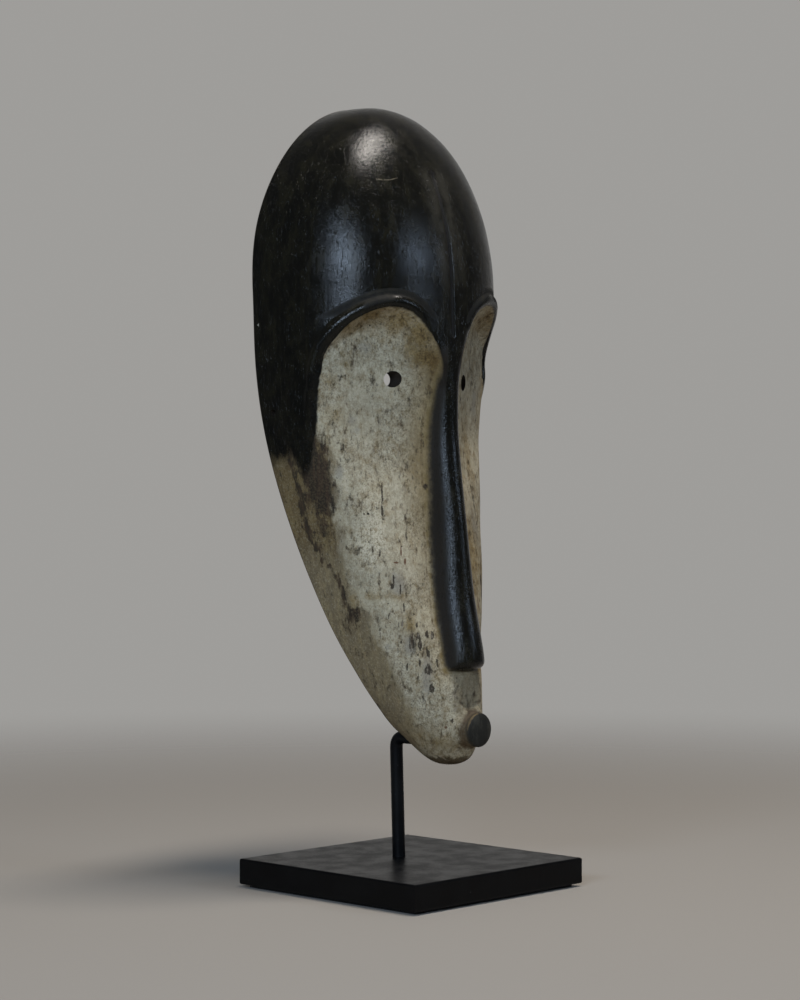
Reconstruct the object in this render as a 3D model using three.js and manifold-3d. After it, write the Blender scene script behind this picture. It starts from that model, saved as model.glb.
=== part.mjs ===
import * as THREE from "three";
import { mergeVertices } from "three/addons/utils/BufferGeometryUtils.js";
import Module from "manifold-3d";

// A carved Fang mask on its stand, in millimetres.
// +Z is up and the face looks along -Y. The origin is under the middle of the base.

const wasm = await Module();
wasm.setup();

// Stand sizes
const baseSide = 150;
const baseThick = 16;
const baseEdgeRound = 1.2;
const feltThick = 2;
const feltSide = 141;
const gap = 0.3;
const rodDiameter = 8;
const rodFootY = 10.4;
const rodTopY = 12.6;
const rodBendRadius = 7;
const rodLegZ = 92.5;
const rodTipY = -30;
const rodSides = 12;
const rodSteps = 44;
const rodHoleSides = 16;
const rodSeatDepth = 8;
const baseTopZ = feltThick + baseThick;

// Mask heights: a section is cut at each height, from the chin's keel to the crown
const chinZ = 93;
const domeZ = 370;
const crownZ = 485.6;
const domeHalfWidth = 80;
const domeWidthPower = 2.25;
const domeFrontPower = 1.8;
const crownFrontY = 30.4;
const browCrestY = -34.7;
const bridgeLift = 2;
const bridgeZ = 318;

// Half width of the mask at its back rim, as [height, value]
const halfWidthKnots = [
  [93, 0], [94.5, 8.5], [98, 14.5], [104, 21], [112, 27], [124, 34.5], [139, 41.5],
  [160, 49], [190, 57.5], [228, 66.5], [270, 74.5], [318, 79.3], [370, 80],
];
// How far back the rim stands
const rimKnots = [
  [93, -3.3], [108, 0.2], [130, 7.4], [160, 19.7], [200, 33.3], [250, 46.2],
  [300, 54.4], [350, 57.5], [410, 58], [450, 51.3], [485.6, 43.1],
];
// Where the two cheeks would meet in front, under the nose
const cheekMeetKnots = [
  [93, -24], [98, -33.5], [105, -45], [111, -49.7], [118, -54], [132, -53.7], [150, -45.6],
  [180, -35.1], [215, -29.9], [250, -31.7], [285, -32.1], [318, -37],
];
// Slope of the cheek beside the nose, and how full its section is in front and at the side
const cheekSlopeKnots = [[93, 0.12], [118, 0.21], [150, 0.38], [200, 0.2], [260, 0.7], [318, 0.8]];
const cheekFrontKnots = [[93, 0.97], [125, 0.3], [170, 0.49], [230, 0.6], [318, 0.87]];
const cheekSideKnots = [[93, 0.65], [125, 0.66], [170, 0.97], [230, 0.93], [318, 0.83]];
const domeFrontFull = 0.907;
const crownFrontFull = 0.843;
const domeSideKnots = [[285, 0.5], [300, 0.5], [320, 0.58], [334, 0.55], [350, 0.5]];
// The chin's sections lean down towards the front
const chinLean = 0.72;
const chinLeanTop = 160;

// Nose ridge
const noseTipZ = 136.8;
const noseRootZ = 345;
const noseTipRound = 5.5;
const noseTipCorner = 7;
const noseTipCornerWidth = 2.8;
const noseRootBlend = 20;
const noseMostShare = 0.6;
const noseHalfKnots = [[131, 14], [150, 13.7], [180, 13], [228, 11], [270, 10], [318, 8], [345, 8]];
const noseCrestKnots = [
  [131, -56.4], [146, -56.5], [155, -55], [179, -50.1], [203, -46.9], [228, -43.9],
  [252, -40.4], [275, -37.7], [318, -37], [345, -36],
];
// Eye fields: two recessed arches under a raised bead
const archX = 43;
const archHalf = 31.2;
const archRise = 37.4;
const archZ = { left: 319, right: 325 };
const archEndZ = 272;
const archTaper = 0.05;
// Towards the nose the field runs wider again below the bead
const archInnerFlare = 1.2;
const archInnerFlareTop = 14;
const archInnerFlareSoft = 14;
// The field's outline fades out down the cheek, over this height
const archFadeLowZ = 245;
const archFadeSpan = 35;
// The drop from the outline to the cheek: a long scoop at the top and towards the nose, short at the side
const archSlopeReach = 0.55;
const archSideReach = 0.12;
const archSlopePower = 2;
const beadDiameter = 8;
const beadProud = 2.2;
const beadSideShift = 1.2;
const beadTopShift = 2.7;
const beadInnerAngle = (160 * Math.PI) / 180;
const beadLegSteps = 6;
const beadArchSteps = 18;
const beadSides = 8;
const beadSteps = 40;
const eyeX = 31.7;
const eyeZ = 313;
const eyeDiameter = 10;
const eyeSides = 20;
// Forehead groove
const grooveDepth = 1.3;
const grooveTopZ = 441;
const grooveLowZ = 338;
// Mouth knob and the flat between nose and mouth
const knobZ = 101;
const knobRadius = 10.4;
const knobFrontY = -59;
const knobLength = 15;
const knobEdgeRound = 1.2;
const knobDome = 1;
const knobSides = 28;
const lipFlatY = -49;
const lipFlatLowZ = 110;
const lipFlatHalf = 12.5;
const lipFlatSideRise = 11;
// The chin swells up to the knob at both sides of it
const chinSwell = 3.5;
const chinSwellReach = 15.5;
const chinSwellFade = 4.5;
const chinSwellInset = 3;
const chinSwellRise = 6;
const chinSwellLowZ = 88;
const chinSwellTopZ = 112;
const chinSwellFrontY = -20;
const chinSwellDepth = 15;
// Hollow at the back and the two tie holes beside the rim
const wall = 8;
const hollowLowZ = 122;
const hollowEnd = 42;
const hollowPast = 40;
const hollowFrontFull = 0.8;
const hollowSideFull = 0.62;
const hollowRows = 26;
const hollowSteps = 9;
// Where the hollow's front wall stands at x = 0
const hollowFrontKnots = [
  [122, -12], [135, -21], [160, -22], [203, -17], [228, -15], [270, -15], [318, -17.6],
  [346, -20.3], [372, -26.4],
];
const hollowSlopeKnots = [[300, 0.3], [346, 0.34], [376, 0]];
const tieHoleDiameter = 4;
const tieHoleSides = 10;
const tieHoleZ = 293;
const tieHoleInset = 11;

const clamp01 = (v) => Math.min(1, Math.max(0, v));
const smooth = (v) => {
  const u = clamp01(v);
  return u * u * (3 - 2 * u);
};
const mix = (a, b, u) => a + (b - a) * u;

// A smooth curve through [height, value] knots, held level past both ends.
function along(knots) {
  const z = knots.map((k) => k[0]);
  const v = knots.map((k) => k[1]);
  const last = z.length - 1;
  const chord = v.slice(1).map((w, i) => (w - v[i]) / (z[i + 1] - z[i]));
  const tangent = v.map((_, i) => {
    if (i === 0) return chord[0];
    if (i === last) return chord[last - 1];
    const before = z[i] - z[i - 1];
    const after = z[i + 1] - z[i];
    return (after * chord[i - 1] + before * chord[i]) / (before + after);
  });
  return (height) => {
    const at = Math.min(z[last], Math.max(z[0], height));
    let i = 0;
    while (i < last - 1 && at >= z[i + 1]) i += 1;
    const step = z[i + 1] - z[i];
    const u = (at - z[i]) / step;
    return (
      v[i] * (1 + 2 * u) * (1 - u) ** 2 +
      tangent[i] * step * u * (1 - u) ** 2 +
      v[i + 1] * u * u * (3 - 2 * u) +
      tangent[i + 1] * step * u * u * (u - 1)
    );
  };
}

const halfWidthLow = along(halfWidthKnots);
const rimDepth = along(rimKnots);
const cheekMeet = along(cheekMeetKnots);
const cheekSlope = along(cheekSlopeKnots);
const cheekFront = along(cheekFrontKnots);
const cheekSide = along(cheekSideKnots);
const domeSide = along(domeSideKnots);
const noseHalf = along(noseHalfKnots);
const noseCrest = along(noseCrestKnots);
const hollowFront = along(hollowFrontKnots);
const hollowSlope = along(hollowSlopeKnots);

// One cubic section curve from the front centre to the rim, in the XY plane.
function sectionCurve(half, rim, front, slope, frontFull, sideFull) {
  const x1 = frontFull * half;
  const y1 = front + slope * x1;
  const y2 = rim - sideFull * (rim - front);
  return (t) => {
    const u = 1 - t;
    return [
      3 * t * u * u * x1 + 3 * t * t * u * half + t ** 3 * half,
      u ** 3 * front + 3 * t * u * u * y1 + 3 * t * t * u * y2 + t ** 3 * rim,
    ];
  };
}

// What a section at one height needs: rim, lean, and its forehead and cheek curves.
function sectionAt(height) {
  const rise = clamp01((height - domeZ) / (crownZ - domeZ));
  const half =
    height > domeZ
      ? domeHalfWidth * (1 - rise ** domeWidthPower) ** (1 / domeWidthPower)
      : halfWidthLow(height);
  const rim = rimDepth(height);
  const crest = browCrestY - bridgeLift * clamp01((domeZ - height) / (domeZ - bridgeZ));
  const front =
    crownFrontY - (crownFrontY - crest) * (1 - rise ** domeFrontPower) ** (1 / domeFrontPower);
  const lean = chinLean * clamp01((chinLeanTop - height) / (chinLeanTop - chinZ)) ** 1.5;
  return {
    height,
    half,
    rim,
    lean,
    dome: sectionCurve(
      half, rim, front, 0, mix(domeFrontFull, crownFrontFull, rise ** 3), domeSide(height),
    ),
    cheek: sectionCurve(
      half, rim, cheekMeet(height), cheekSlope(height), cheekFront(height), cheekSide(height),
    ),
  };
}

// 0 outside the eye field's outline, rising inside it to 1, where the cheek form holds.
function cheekShare(x, z, side) {
  const middle = archZ[side];
  const across = x - archX;
  const drop = Math.max(0, middle + archInnerFlareTop - z);
  const soft = archInnerFlareSoft;
  const flare = archInnerFlare * (drop < soft ? drop ** 2 / (2 * soft) : drop - soft / 2);
  const outerHalf = archHalf - archTaper * Math.max(0, middle - z);
  const reach = across < 0 ? -across / (archHalf + flare) : across / outerHalf;
  const radial = Math.max(1e-6, Math.hypot(reach, Math.max(0, z - middle) / archRise));
  const fade = smooth((z - archFadeLowZ) / archFadeSpan);
  const outer = across > 0 ? smooth(reach / radial) : 0;
  const slope = mix(archSlopeReach, archSideReach, outer);
  return 1 - (1 - clamp01((1 - fade * radial) / slope)) ** archSlopePower;
}

// A point of the carved form without nose, bead or knob.
function formPoint(section, t, side) {
  const [xd, yd] = section.dome(t);
  const [xc, yc] = section.cheek(t);
  const share = cheekShare(xd, section.height, side);
  const y = mix(yd, yc, share);
  return [mix(xd, xc, share), y, section.height - section.lean * (section.rim - y)];
}

// The section parameter at which the form is x wide.
function parameterAt(section, x, side) {
  let low = 0;
  let high = 1;
  for (let i = 0; i < 24; i += 1) {
    const middle = (low + high) / 2;
    if (formPoint(section, middle, side)[0] < x) low = middle;
    else high = middle;
  }
  return (low + high) / 2;
}

// The flat between nose and mouth, scooped where the two cheeks would meet.
function scooped(x, y, z) {
  const lowEdge = lipFlatLowZ + lipFlatSideRise * smooth(x / lipFlatHalf) ** 2;
  const share = smooth((z - lowEdge) / 3) * smooth((noseTipZ + 6 - z) / 4);
  return mix(y, Math.max(y, lipFlatY), share);
}

function chinSwelled([x, y, z]) {
  const near = smooth((chinSwellReach - Math.hypot(x, z - knobZ)) / chinSwellFade);
  const aside = smooth((x - chinSwellInset) / chinSwellRise);
  const level = smooth((chinSwellTopZ - z) / chinSwellRise) * smooth((z - chinSwellLowZ) / chinSwellRise);
  const front = smooth((chinSwellFrontY - y) / chinSwellDepth);
  return [x, y - chinSwell * near * aside * level * front, z];
}

// 0 past the nose's tip, rising inside it, with the two lower corners rounded.
function tipShare(x, half, z) {
  const aside = Math.max(0, noseTipCornerWidth - (half - x));
  const below = Math.max(0, noseTipCorner - (z - noseTipZ));
  const inside = clamp01((noseTipCorner - Math.hypot(aside, below)) / noseTipRound);
  return Math.sqrt(1 - (1 - inside) ** 2);
}

// Half width of the nose's strip, kept within the narrow chin.
function stripHalf(section) {
  return Math.min(noseHalf(section.height), noseMostShare * section.half);
}

// The nose ridge over its strip: half an ellipse from foot to crest.
function nosePoint(section, angle, side) {
  const half = stripHalf(section);
  const x = half * Math.sin(angle);
  const foot = formPoint(section, parameterAt(section, half, side), side);
  const base = formPoint(section, parameterAt(section, x, side), side);
  const z = base[2];
  const share = tipShare(x, half, z) * smooth((noseRootZ - z) / noseRootBlend);
  const ridge = mix(foot[1], noseCrest(z), Math.cos(angle));
  const groove =
    angle === 0 ? grooveDepth * smooth((z - grooveLowZ) / 2) * smooth((grooveTopZ - z) / 4) : 0;
  const y = mix(scooped(x, base[1], z), ridge, share) + groove;
  return [x, y, z];
}

// Turns rows of points into a closed solid; each row runs from rim to rim and a cap joins its ends.
function solidFromRows(rows) {
  const points = [];
  const faces = [];
  const count = rows[0].length;
  rows.forEach((row) => row.forEach((p) => points.push(...p)));
  for (let r = 0; r + 1 < rows.length; r += 1) {
    for (let c = 0; c < count; c += 1) {
      const next = (c + 1) % count;
      const a = r * count + c;
      const b = r * count + next;
      faces.push(a, b, b + count, a, b + count, a + count);
    }
  }
  return solidFrom(new THREE.Float32BufferAttribute(points, 3), faces);
}

// A manifold solid from positions and an index, with doubled points merged and empty faces dropped.
function solidFrom(position, index) {
  const geometry = new THREE.BufferGeometry().setAttribute("position", position);
  geometry.setIndex(index);
  const merged = mergeVertices(geometry, 1e-3);
  const source = merged.index.array;
  const kept = [];
  for (let i = 0; i < source.length; i += 3) {
    const [a, b, c] = source.slice(i, i + 3);
    if (a !== b && b !== c && c !== a) kept.push(a, b, c);
  }
  return new wasm.Manifold(
    new wasm.Mesh({
      numProp: 3,
      vertProperties: merged.attributes.position.array,
      triVerts: new Uint32Array(kept),
    }),
  );
}

function solidFromGeometry(geometry) {
  const bare = geometry.clone();
  bare.deleteAttribute("normal");
  bare.deleteAttribute("uv");
  const merged = mergeVertices(bare, 1e-4);
  return solidFrom(merged.attributes.position, Array.from(merged.index.array));
}

function geometryFrom(solid) {
  const made = solid.getMesh();
  return new THREE.BufferGeometry()
    .setAttribute("position", new THREE.BufferAttribute(made.vertProperties, 3))
    .setIndex(new THREE.BufferAttribute(made.triVerts, 1));
}

// A round bar along a three.js curve.
function barAlong(curve, diameter, sides, steps) {
  const section = new THREE.Shape();
  for (let i = 0; i < sides; i += 1) {
    const angle = (2 * Math.PI * i) / sides;
    const x = (diameter / 2) * Math.cos(angle);
    const y = (diameter / 2) * Math.sin(angle);
    if (i === 0) section.moveTo(x, y);
    else section.lineTo(x, y);
  }
  return new THREE.ExtrudeGeometry(section, { extrudePath: curve, steps });
}

// Heights of the sections: close together at the keel, the nose tip and the crown.
function sectionHeights() {
  const heights = [];
  const spread = (from, to, steps, ease) => {
    for (let i = 0; i < steps; i += 1) heights.push(from + (to - from) * ease(i / steps));
  };
  const even = (u) => u;
  const noseTipLow = noseTipZ - 0.3;
  const noseTipTop = noseTipZ + 13;
  const archLowZ = 300;
  spread(chinZ, noseTipLow, 13, (u) => u ** 1.4);
  spread(noseTipLow, noseTipTop, 7, (u) => u ** 1.3);
  spread(noseTipTop, archLowZ, 15, even);
  spread(archLowZ, domeZ, 12, even);
  spread(domeZ, crownZ, 15, (u) => Math.sin((u * Math.PI) / 2));
  heights.push(crownZ);
  return heights;
}

const noseSteps = 5;
const cheekSteps = 13;

function halfRow(section, side) {
  const row = [];
  for (let i = 0; i <= noseSteps; i += 1) {
    row.push(chinSwelled(nosePoint(section, (i / noseSteps) ** 1.1 * (Math.PI / 2), side)));
  }
  const start = parameterAt(section, stripHalf(section), side);
  for (let i = 1; i <= cheekSteps; i += 1) {
    row.push(chinSwelled(formPoint(section, mix(start, 1, i / cheekSteps), side)));
  }
  return row;
}

function outerForm() {
  const rows = sectionHeights().map((height) => {
    const section = sectionAt(height);
    const right = halfRow(section, "right");
    const left = halfRow(section, "left").map(([x, y, z]) => [-x, y, z]);
    return [...left.reverse(), ...right.slice(1)];
  });
  return solidFromRows(rows);
}

// The carver's hollow: the same kind of sections, one wall inside the form, open past the rim.
function hollowForm() {
  const rows = [];
  const top = crownZ - wall;
  for (let r = 0; r <= hollowRows; r += 1) {
    const height = mix(hollowLowZ, top, (1 - Math.cos((Math.PI * r) / hollowRows)) / 2);
    const section = sectionAt(height);
    const rise = clamp01((height - domeZ) / (top - domeZ));
    const fall = clamp01((hollowLowZ + hollowEnd - height) / hollowEnd);
    const close = (1 - rise ** domeWidthPower) ** (1 / domeWidthPower) * Math.sqrt(1 - fall ** 2);
    const half = (Math.min(section.half, domeHalfWidth) - wall) * close;
    const full = height > domeZ ? (domeHalfWidth - wall) * close : half;
    const front = mix(section.rim, hollowFront(height), Math.sqrt(1 - fall ** 2));
    const crown = mix(section.rim, front, (1 - rise ** domeFrontPower) ** (1 / domeFrontPower));
    const slope = hollowSlope(height);
    const curve = sectionCurve(full, section.rim, crown, slope, hollowFrontFull, hollowSideFull);
    const side = [];
    for (let i = 0; i <= hollowSteps; i += 1) side.push(curve(i / hollowSteps));
    side.push([full, section.rim + hollowPast]);
    const right = side.map(([x, y]) => [x, y, height]);
    const left = side.slice(1).map(([x, y]) => [-x, y, height]);
    rows.push([...left.reverse(), ...right]);
  }
  return solidFromRows(rows);
}

// Depth of the forehead form at x, by halving the section parameter.
function domeDepth(x, z) {
  const { dome } = sectionAt(z);
  let low = 0;
  let high = 1;
  for (let i = 0; i < 24; i += 1) {
    const middle = (low + high) / 2;
    if (dome(middle)[0] < x) low = middle;
    else high = middle;
  }
  return dome(low)[1];
}

// The middle line of the raised bead round one eye field, sunk into the form at both ends.
function beadCurve(side, sign) {
  const middle = archZ[side];
  const radius = beadDiameter / 2;
  const plan = [];
  for (let i = 0; i < beadLegSteps; i += 1) {
    const z = mix(archEndZ, middle, i / beadLegSteps);
    plan.push([archX + archHalf + beadSideShift - archTaper * (middle - z), z]);
  }
  for (let i = 0; i <= beadArchSteps; i += 1) {
    const angle = (beadInnerAngle * i) / beadArchSteps;
    const shift = mix(beadSideShift, beadTopShift, smooth(i / 6));
    plan.push([
      archX + (archHalf + shift) * Math.cos(angle),
      middle + (archRise + beadTopShift) * Math.sin(angle),
    ]);
  }
  const points = plan.map(([x, z], i) => {
    const y = domeDepth(x, z);
    const normal = new THREE.Vector3(
      domeDepth(x + 0.2, z) - domeDepth(x - 0.2, z),
      -0.4,
      domeDepth(x, z + 0.2) - domeDepth(x, z - 0.2),
    ).normalize();
    const nearEnd = Math.min(1, i / 4, (plan.length - 1 - i) / 3);
    const out = mix(-1, beadProud, smooth(nearEnd)) - radius;
    const point = new THREE.Vector3(x, y, z).addScaledVector(normal, out);
    return point.setX(sign * point.x);
  });
  return new THREE.CatmullRomCurve3(points);
}

// A straight drill along the Y axis.
function drill(diameter, from, to, sides) {
  return new THREE.CylinderGeometry(diameter / 2, diameter / 2, to - from, sides).translate(
    0, (from + to) / 2, 0,
  );
}

// The round mouth knob, with a softened edge and a slightly domed face.
function knobForm() {
  const profile = [new THREE.Vector2(0, 0), new THREE.Vector2(knobRadius, 0)];
  const straight = knobLength - knobDome - knobEdgeRound;
  const edgeSteps = 3;
  const edgeTurn = (72 * Math.PI) / 180;
  for (let i = 0; i <= edgeSteps; i += 1) {
    const angle = (i / edgeSteps) * edgeTurn;
    profile.push(
      new THREE.Vector2(
        knobRadius - knobEdgeRound * (1 - Math.cos(angle)),
        straight + knobEdgeRound * Math.sin(angle),
      ),
    );
  }
  profile.push(new THREE.Vector2(knobRadius / 2, knobLength - knobDome / 4));
  profile.push(new THREE.Vector2(0, knobLength));
  // The lathe turns about Y; half a turn about X points it along -Y.
  return new THREE.LatheGeometry(profile, knobSides)
    .rotateX(Math.PI)
    .translate(0, knobFrontY + knobLength, knobZ);
}

// The rod leans back as it rises, from its seat in the base to the bend.
function rodCurve() {
  const rise = (rodTopY - rodFootY) / (rodLegZ - rodBendRadius - baseTopZ);
  const foot = new THREE.Vector3(0, rodFootY - rise * rodSeatDepth, baseTopZ - rodSeatDepth);
  const bendStart = new THREE.Vector3(0, rodTopY, rodLegZ - rodBendRadius);
  const corner = new THREE.Vector3(0, rodTopY, rodLegZ);
  const bendEnd = new THREE.Vector3(0, rodTopY - rodBendRadius, rodLegZ);
  const tip = new THREE.Vector3(0, rodTipY, rodLegZ);
  const path = new THREE.CurvePath();
  path.add(new THREE.LineCurve3(foot, bendStart));
  path.add(new THREE.QuadraticBezierCurve3(bendStart, corner, bendEnd));
  path.add(new THREE.LineCurve3(bendEnd, tip));
  return path;
}

// The whole carved mask: form, beads and knob joined, then hollow, eyes, tie holes and rod socket cut.
function maskSolid() {
  let solid = outerForm();
  for (const side of ["right", "left"]) {
    const curve = beadCurve(side, side === "left" ? -1 : 1);
    solid = solid.add(solidFromGeometry(barAlong(curve, beadDiameter, beadSides, beadSteps)));
  }
  solid = solid.add(solidFromGeometry(knobForm()));
  solid = solid.subtract(hollowForm());
  for (const sign of [-1, 1]) {
    const eye = drill(eyeDiameter, -50, 40, eyeSides).translate(sign * eyeX, 0, eyeZ);
    solid = solid.subtract(solidFromGeometry(eye));
    const tie = drill(tieHoleDiameter, -30, 30, tieHoleSides).rotateZ(Math.PI / 2);
    tie.translate(sign * domeHalfWidth, rimDepth(tieHoleZ) - tieHoleInset, tieHoleZ);
    solid = solid.subtract(solidFromGeometry(tie));
  }
  const socket = drill(rodDiameter + 2 * gap, rodTipY - gap, 30, rodHoleSides);
  return solid.subtract(solidFromGeometry(socket.translate(0, 0, rodLegZ)));
}

// The square block with softened edges and a blind hole that takes the rod's foot.
function baseSolid() {
  const half = baseSide / 2 - baseEdgeRound;
  const plan = new THREE.Shape();
  plan.moveTo(-half, -half);
  plan.lineTo(half, -half);
  plan.lineTo(half, half);
  plan.lineTo(-half, half);
  const block = new THREE.ExtrudeGeometry(plan, {
    depth: baseThick - 2 * baseEdgeRound,
    bevelEnabled: true,
    bevelThickness: baseEdgeRound,
    bevelSize: baseEdgeRound,
    bevelSegments: 3,
  }).translate(0, 0, feltThick + baseEdgeRound);
  const lean = Math.atan2(rodTopY - rodFootY, rodLegZ - rodBendRadius - baseTopZ);
  const hole = drill(rodDiameter + 2 * gap, -rodSeatDepth - gap, 20, rodHoleSides);
  hole.rotateX(Math.PI / 2 - lean).translate(0, rodFootY, baseTopZ);
  return solidFromGeometry(block).subtract(solidFromGeometry(hole));
}

const group = new THREE.Group();
function add(name, geometry, color, roughness, metalness) {
  const material = new THREE.MeshStandardMaterial({ color, roughness, metalness });
  const mesh = new THREE.Mesh(geometry, material);
  mesh.name = name;
  group.add(mesh);
}

add("mask", geometryFrom(maskSolid()), 0x6f6552, 0.6, 0);
add("stand_rod", barAlong(rodCurve(), rodDiameter, rodSides, rodSteps), 0x141414, 0.4, 0.3);
add("stand_base", geometryFrom(baseSolid()), 0x121213, 0.45, 0);
const felt = new THREE.BoxGeometry(feltSide, feltSide, feltThick).translate(0, 0, feltThick / 2);
add("stand_felt", felt, 0x1b1a19, 0.95, 0);

export default group;
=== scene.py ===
import math

import bmesh
import bpy
import numpy as np
from mathutils import Matrix, Vector


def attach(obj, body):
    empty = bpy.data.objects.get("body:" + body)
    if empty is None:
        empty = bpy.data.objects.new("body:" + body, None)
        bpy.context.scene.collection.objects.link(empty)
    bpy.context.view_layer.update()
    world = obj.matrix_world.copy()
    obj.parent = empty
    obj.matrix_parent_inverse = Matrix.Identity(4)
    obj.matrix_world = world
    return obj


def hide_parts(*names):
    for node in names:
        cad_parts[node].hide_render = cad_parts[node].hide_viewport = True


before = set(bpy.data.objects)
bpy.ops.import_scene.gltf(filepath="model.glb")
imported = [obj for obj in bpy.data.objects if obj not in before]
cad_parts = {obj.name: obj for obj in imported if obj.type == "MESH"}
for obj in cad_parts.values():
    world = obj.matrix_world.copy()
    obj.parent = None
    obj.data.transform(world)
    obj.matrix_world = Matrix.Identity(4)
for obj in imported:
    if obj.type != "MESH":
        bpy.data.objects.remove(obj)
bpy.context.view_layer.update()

scene = bpy.context.scene
scene.view_settings.view_transform = "Standard"
mm = 0.001
print("frame loaded:", sorted(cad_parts))


# Camera: level, at the height of the mask's cheek, turned to its right side
camera = {
    "place": (-1.0772, -1.0300, 0.2398),
    "looksAlong": (0.7196, 0.6944, 0.0),
    "lens": 86.58,
    "sensor": 36.0,
    "clipStart": 0.05,
}
cameraData = bpy.data.cameras.new("photoCamera")
cameraData.lens = camera["lens"]
cameraData.sensor_width = camera["sensor"]
cameraData.clip_start = camera["clipStart"]
cameraObject = bpy.data.objects.new("photoCamera", cameraData)
cameraObject.location = camera["place"]
cameraObject.rotation_euler = Vector(camera["looksAlong"]).to_track_quat("-Z", "Y").to_euler()
scene.collection.objects.link(cameraObject)
scene.camera = cameraObject


# The mask, in millimetres: the same sections as the solid, cut much finer
mask = {
    "chinZ": 93.0, "domeZ": 370.0, "crownZ": 485.6,
    "domeHalfWidth": 80.0, "domeWidthPower": 2.25, "domeFrontPower": 1.8,
    "crownFrontY": 30.4, "browCrestY": -34.7, "bridgeLift": 2.0, "bridgeZ": 318.0,
    "halfWidth": [(93, 0), (94.5, 8.5), (98, 14.5), (104, 21), (112, 27), (124, 34.5), (139, 41.5),
                  (160, 49), (190, 57.5), (228, 66.5), (270, 74.5), (318, 79.3), (370, 80)],
    "rim": [(93, -3.3), (108, 0.2), (130, 7.4), (160, 19.7), (200, 33.3), (250, 46.2),
            (300, 54.4), (350, 57.5), (410, 58), (450, 51.3), (485.6, 43.1)],
    "cheekMeet": [(93, -24), (98, -33.5), (105, -45), (111, -49.7), (118, -54), (132, -53.7), (150, -45.6),
                  (180, -35.1), (215, -29.9), (250, -31.7), (285, -32.1), (318, -37)],
    "cheekSlope": [(93, 0.12), (118, 0.21), (150, 0.38), (200, 0.2), (260, 0.7), (318, 0.8)],
    "cheekFront": [(93, 0.97), (125, 0.3), (170, 0.49), (230, 0.6), (318, 0.87)],
    "cheekSide": [(93, 0.65), (125, 0.66), (170, 0.97), (230, 0.93), (318, 0.83)],
    "domeFrontFull": 0.907, "crownFrontFull": 0.843,
    "domeSide": [(285, 0.5), (300, 0.5), (320, 0.58), (334, 0.55), (350, 0.5)],
    "chinLean": 0.72, "chinLeanTop": 160.0,
    "roundRim": 0.9,
    "rowsChin": 36, "rowsTip": 20, "rowsCheek": 70, "rowsBrow": 118, "rowsDome": 58,
    "rowPower": 1.4, "browLowZ": 264.0, "cornerSteps": 5,
    "noseColumns": 12, "cheekColumns": 96, "rimColumns": 5, "hollowColumns": 20, "halvings": 26,
    "footPasses": 5, "footColumns": (-3, 5), "mergeReach": 2e-5, "sharpAngle": 38.0,
    "tooling": [(0.22, 0, (26.0, 26.0, 44.0)), (0.07, 50, (7.0, 7.0, 15.0))], "toolingFade": 12.0,
}
nose = {
    "tipZ": 136.8, "rootZ": 345.0, "tipRound": 5.5, "tipCorner": 7.0,
    "tipCornerWidth": 2.8, "rootBlend": 20.0, "mostShare": 0.6, "tipRowsSpan": 13.0, "columnPower": 1.1,
    "half": [(131, 14), (150, 13.7), (180, 13), (228, 11), (270, 10), (318, 8), (345, 8)],
    "crest": [(131, -56.4), (146, -56.5), (155, -55), (179, -50.1), (203, -46.9), (228, -43.9),
              (252, -40.4), (275, -37.7), (318, -37), (345, -36)],
}
eyeField = {
    "x": 43.0, "half": 31.2, "rise": 37.4, "z": {"left": 319.0, "right": 325.0},
    "endZ": 272.0, "taper": 0.05, "innerFlare": 1.2, "innerFlareTop": 14.0, "innerFlareSoft": 14.0,
    "fadeLowZ": 245.0, "fadeSpan": 35.0,
    "slopeReach": 0.55, "sideReach": 0.08, "slopePower": 2.0,
    "beadDiameter": 8.0, "beadProud": 2.2, "beadSideShift": 1.2, "beadTopShift": 2.7, "beadInnerAngle": 160.0,
    "beadEndProud": -1.0, "beadLegSteps": 24, "beadArchSteps": 72, "beadFadeSteps": (18, 30), "beadSoft": 0.5,
    "beadFall": 4.0, "beadReach": 2.2, "beadBelow": 12.0, "beadAbove": 8.0,
    "eyeX": 31.7, "eyeZ": 313.0, "eyeDiameter": 10.0, "eyeDrill": (-50, 40), "eyeSides": 56,
}
groove = {"depth": 1.3, "topZ": 441.0, "lowZ": 338.0, "topFade": 4.0, "lowFade": 2.0, "besideShare": 0.5}
mouth = {
    "z": 101.0, "radius": 10.4, "frontY": -59.0, "length": 15.0, "edgeRound": 1.6, "dome": 0.9,
    "flatY": -49.0, "flatLowZ": 110.0, "flatHalf": 12.5, "flatSideRise": 11.0, "swell": 3.5,
    "flatFadeLow": 3.0, "flatFadeTop": 4.0, "flatPastTip": 6.0,
    "swellReach": 15.5, "swellFade": 4.5, "swellInset": 3.0, "swellRise": 6.0, "swellZ": (88.0, 112.0),
    "swellFrontY": -20.0, "swellDepth": 15.0, "knobSides": 72, "knobWobble": 0.004, "knobEdgeTurn": 80.0,
    "knobFace": (0.78, 0.64, 0.5, 0.35, 0.2, 0.1, 0),
}
hollow = {
    "wall": 8.0, "lowZ": 122.0, "end": 42.0, "frontFull": 0.8, "sideFull": 0.62,
    "front": [(122, -12), (135, -21), (160, -22), (203, -17), (228, -15), (270, -15), (318, -17.6),
              (346, -20.3), (372, -26.4)],
    "slope": [(300, 0.3), (346, 0.34), (376, 0)],
    "edgeRound": 1.6, "edgeShare": 0.4, "edgeSpare": 2.0,
    "tieDiameter": 4.0, "tieZ": 293.0, "tieInset": 11.0, "tieDrill": (-30, 30), "tieSides": 24,
}


def clamp01(v):
    return np.clip(v, 0.0, 1.0)


def smooth(v):
    u = clamp01(v)
    return u * u * (3 - 2 * u)


def mix(a, b, u):
    return a + (b - a) * u


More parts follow.
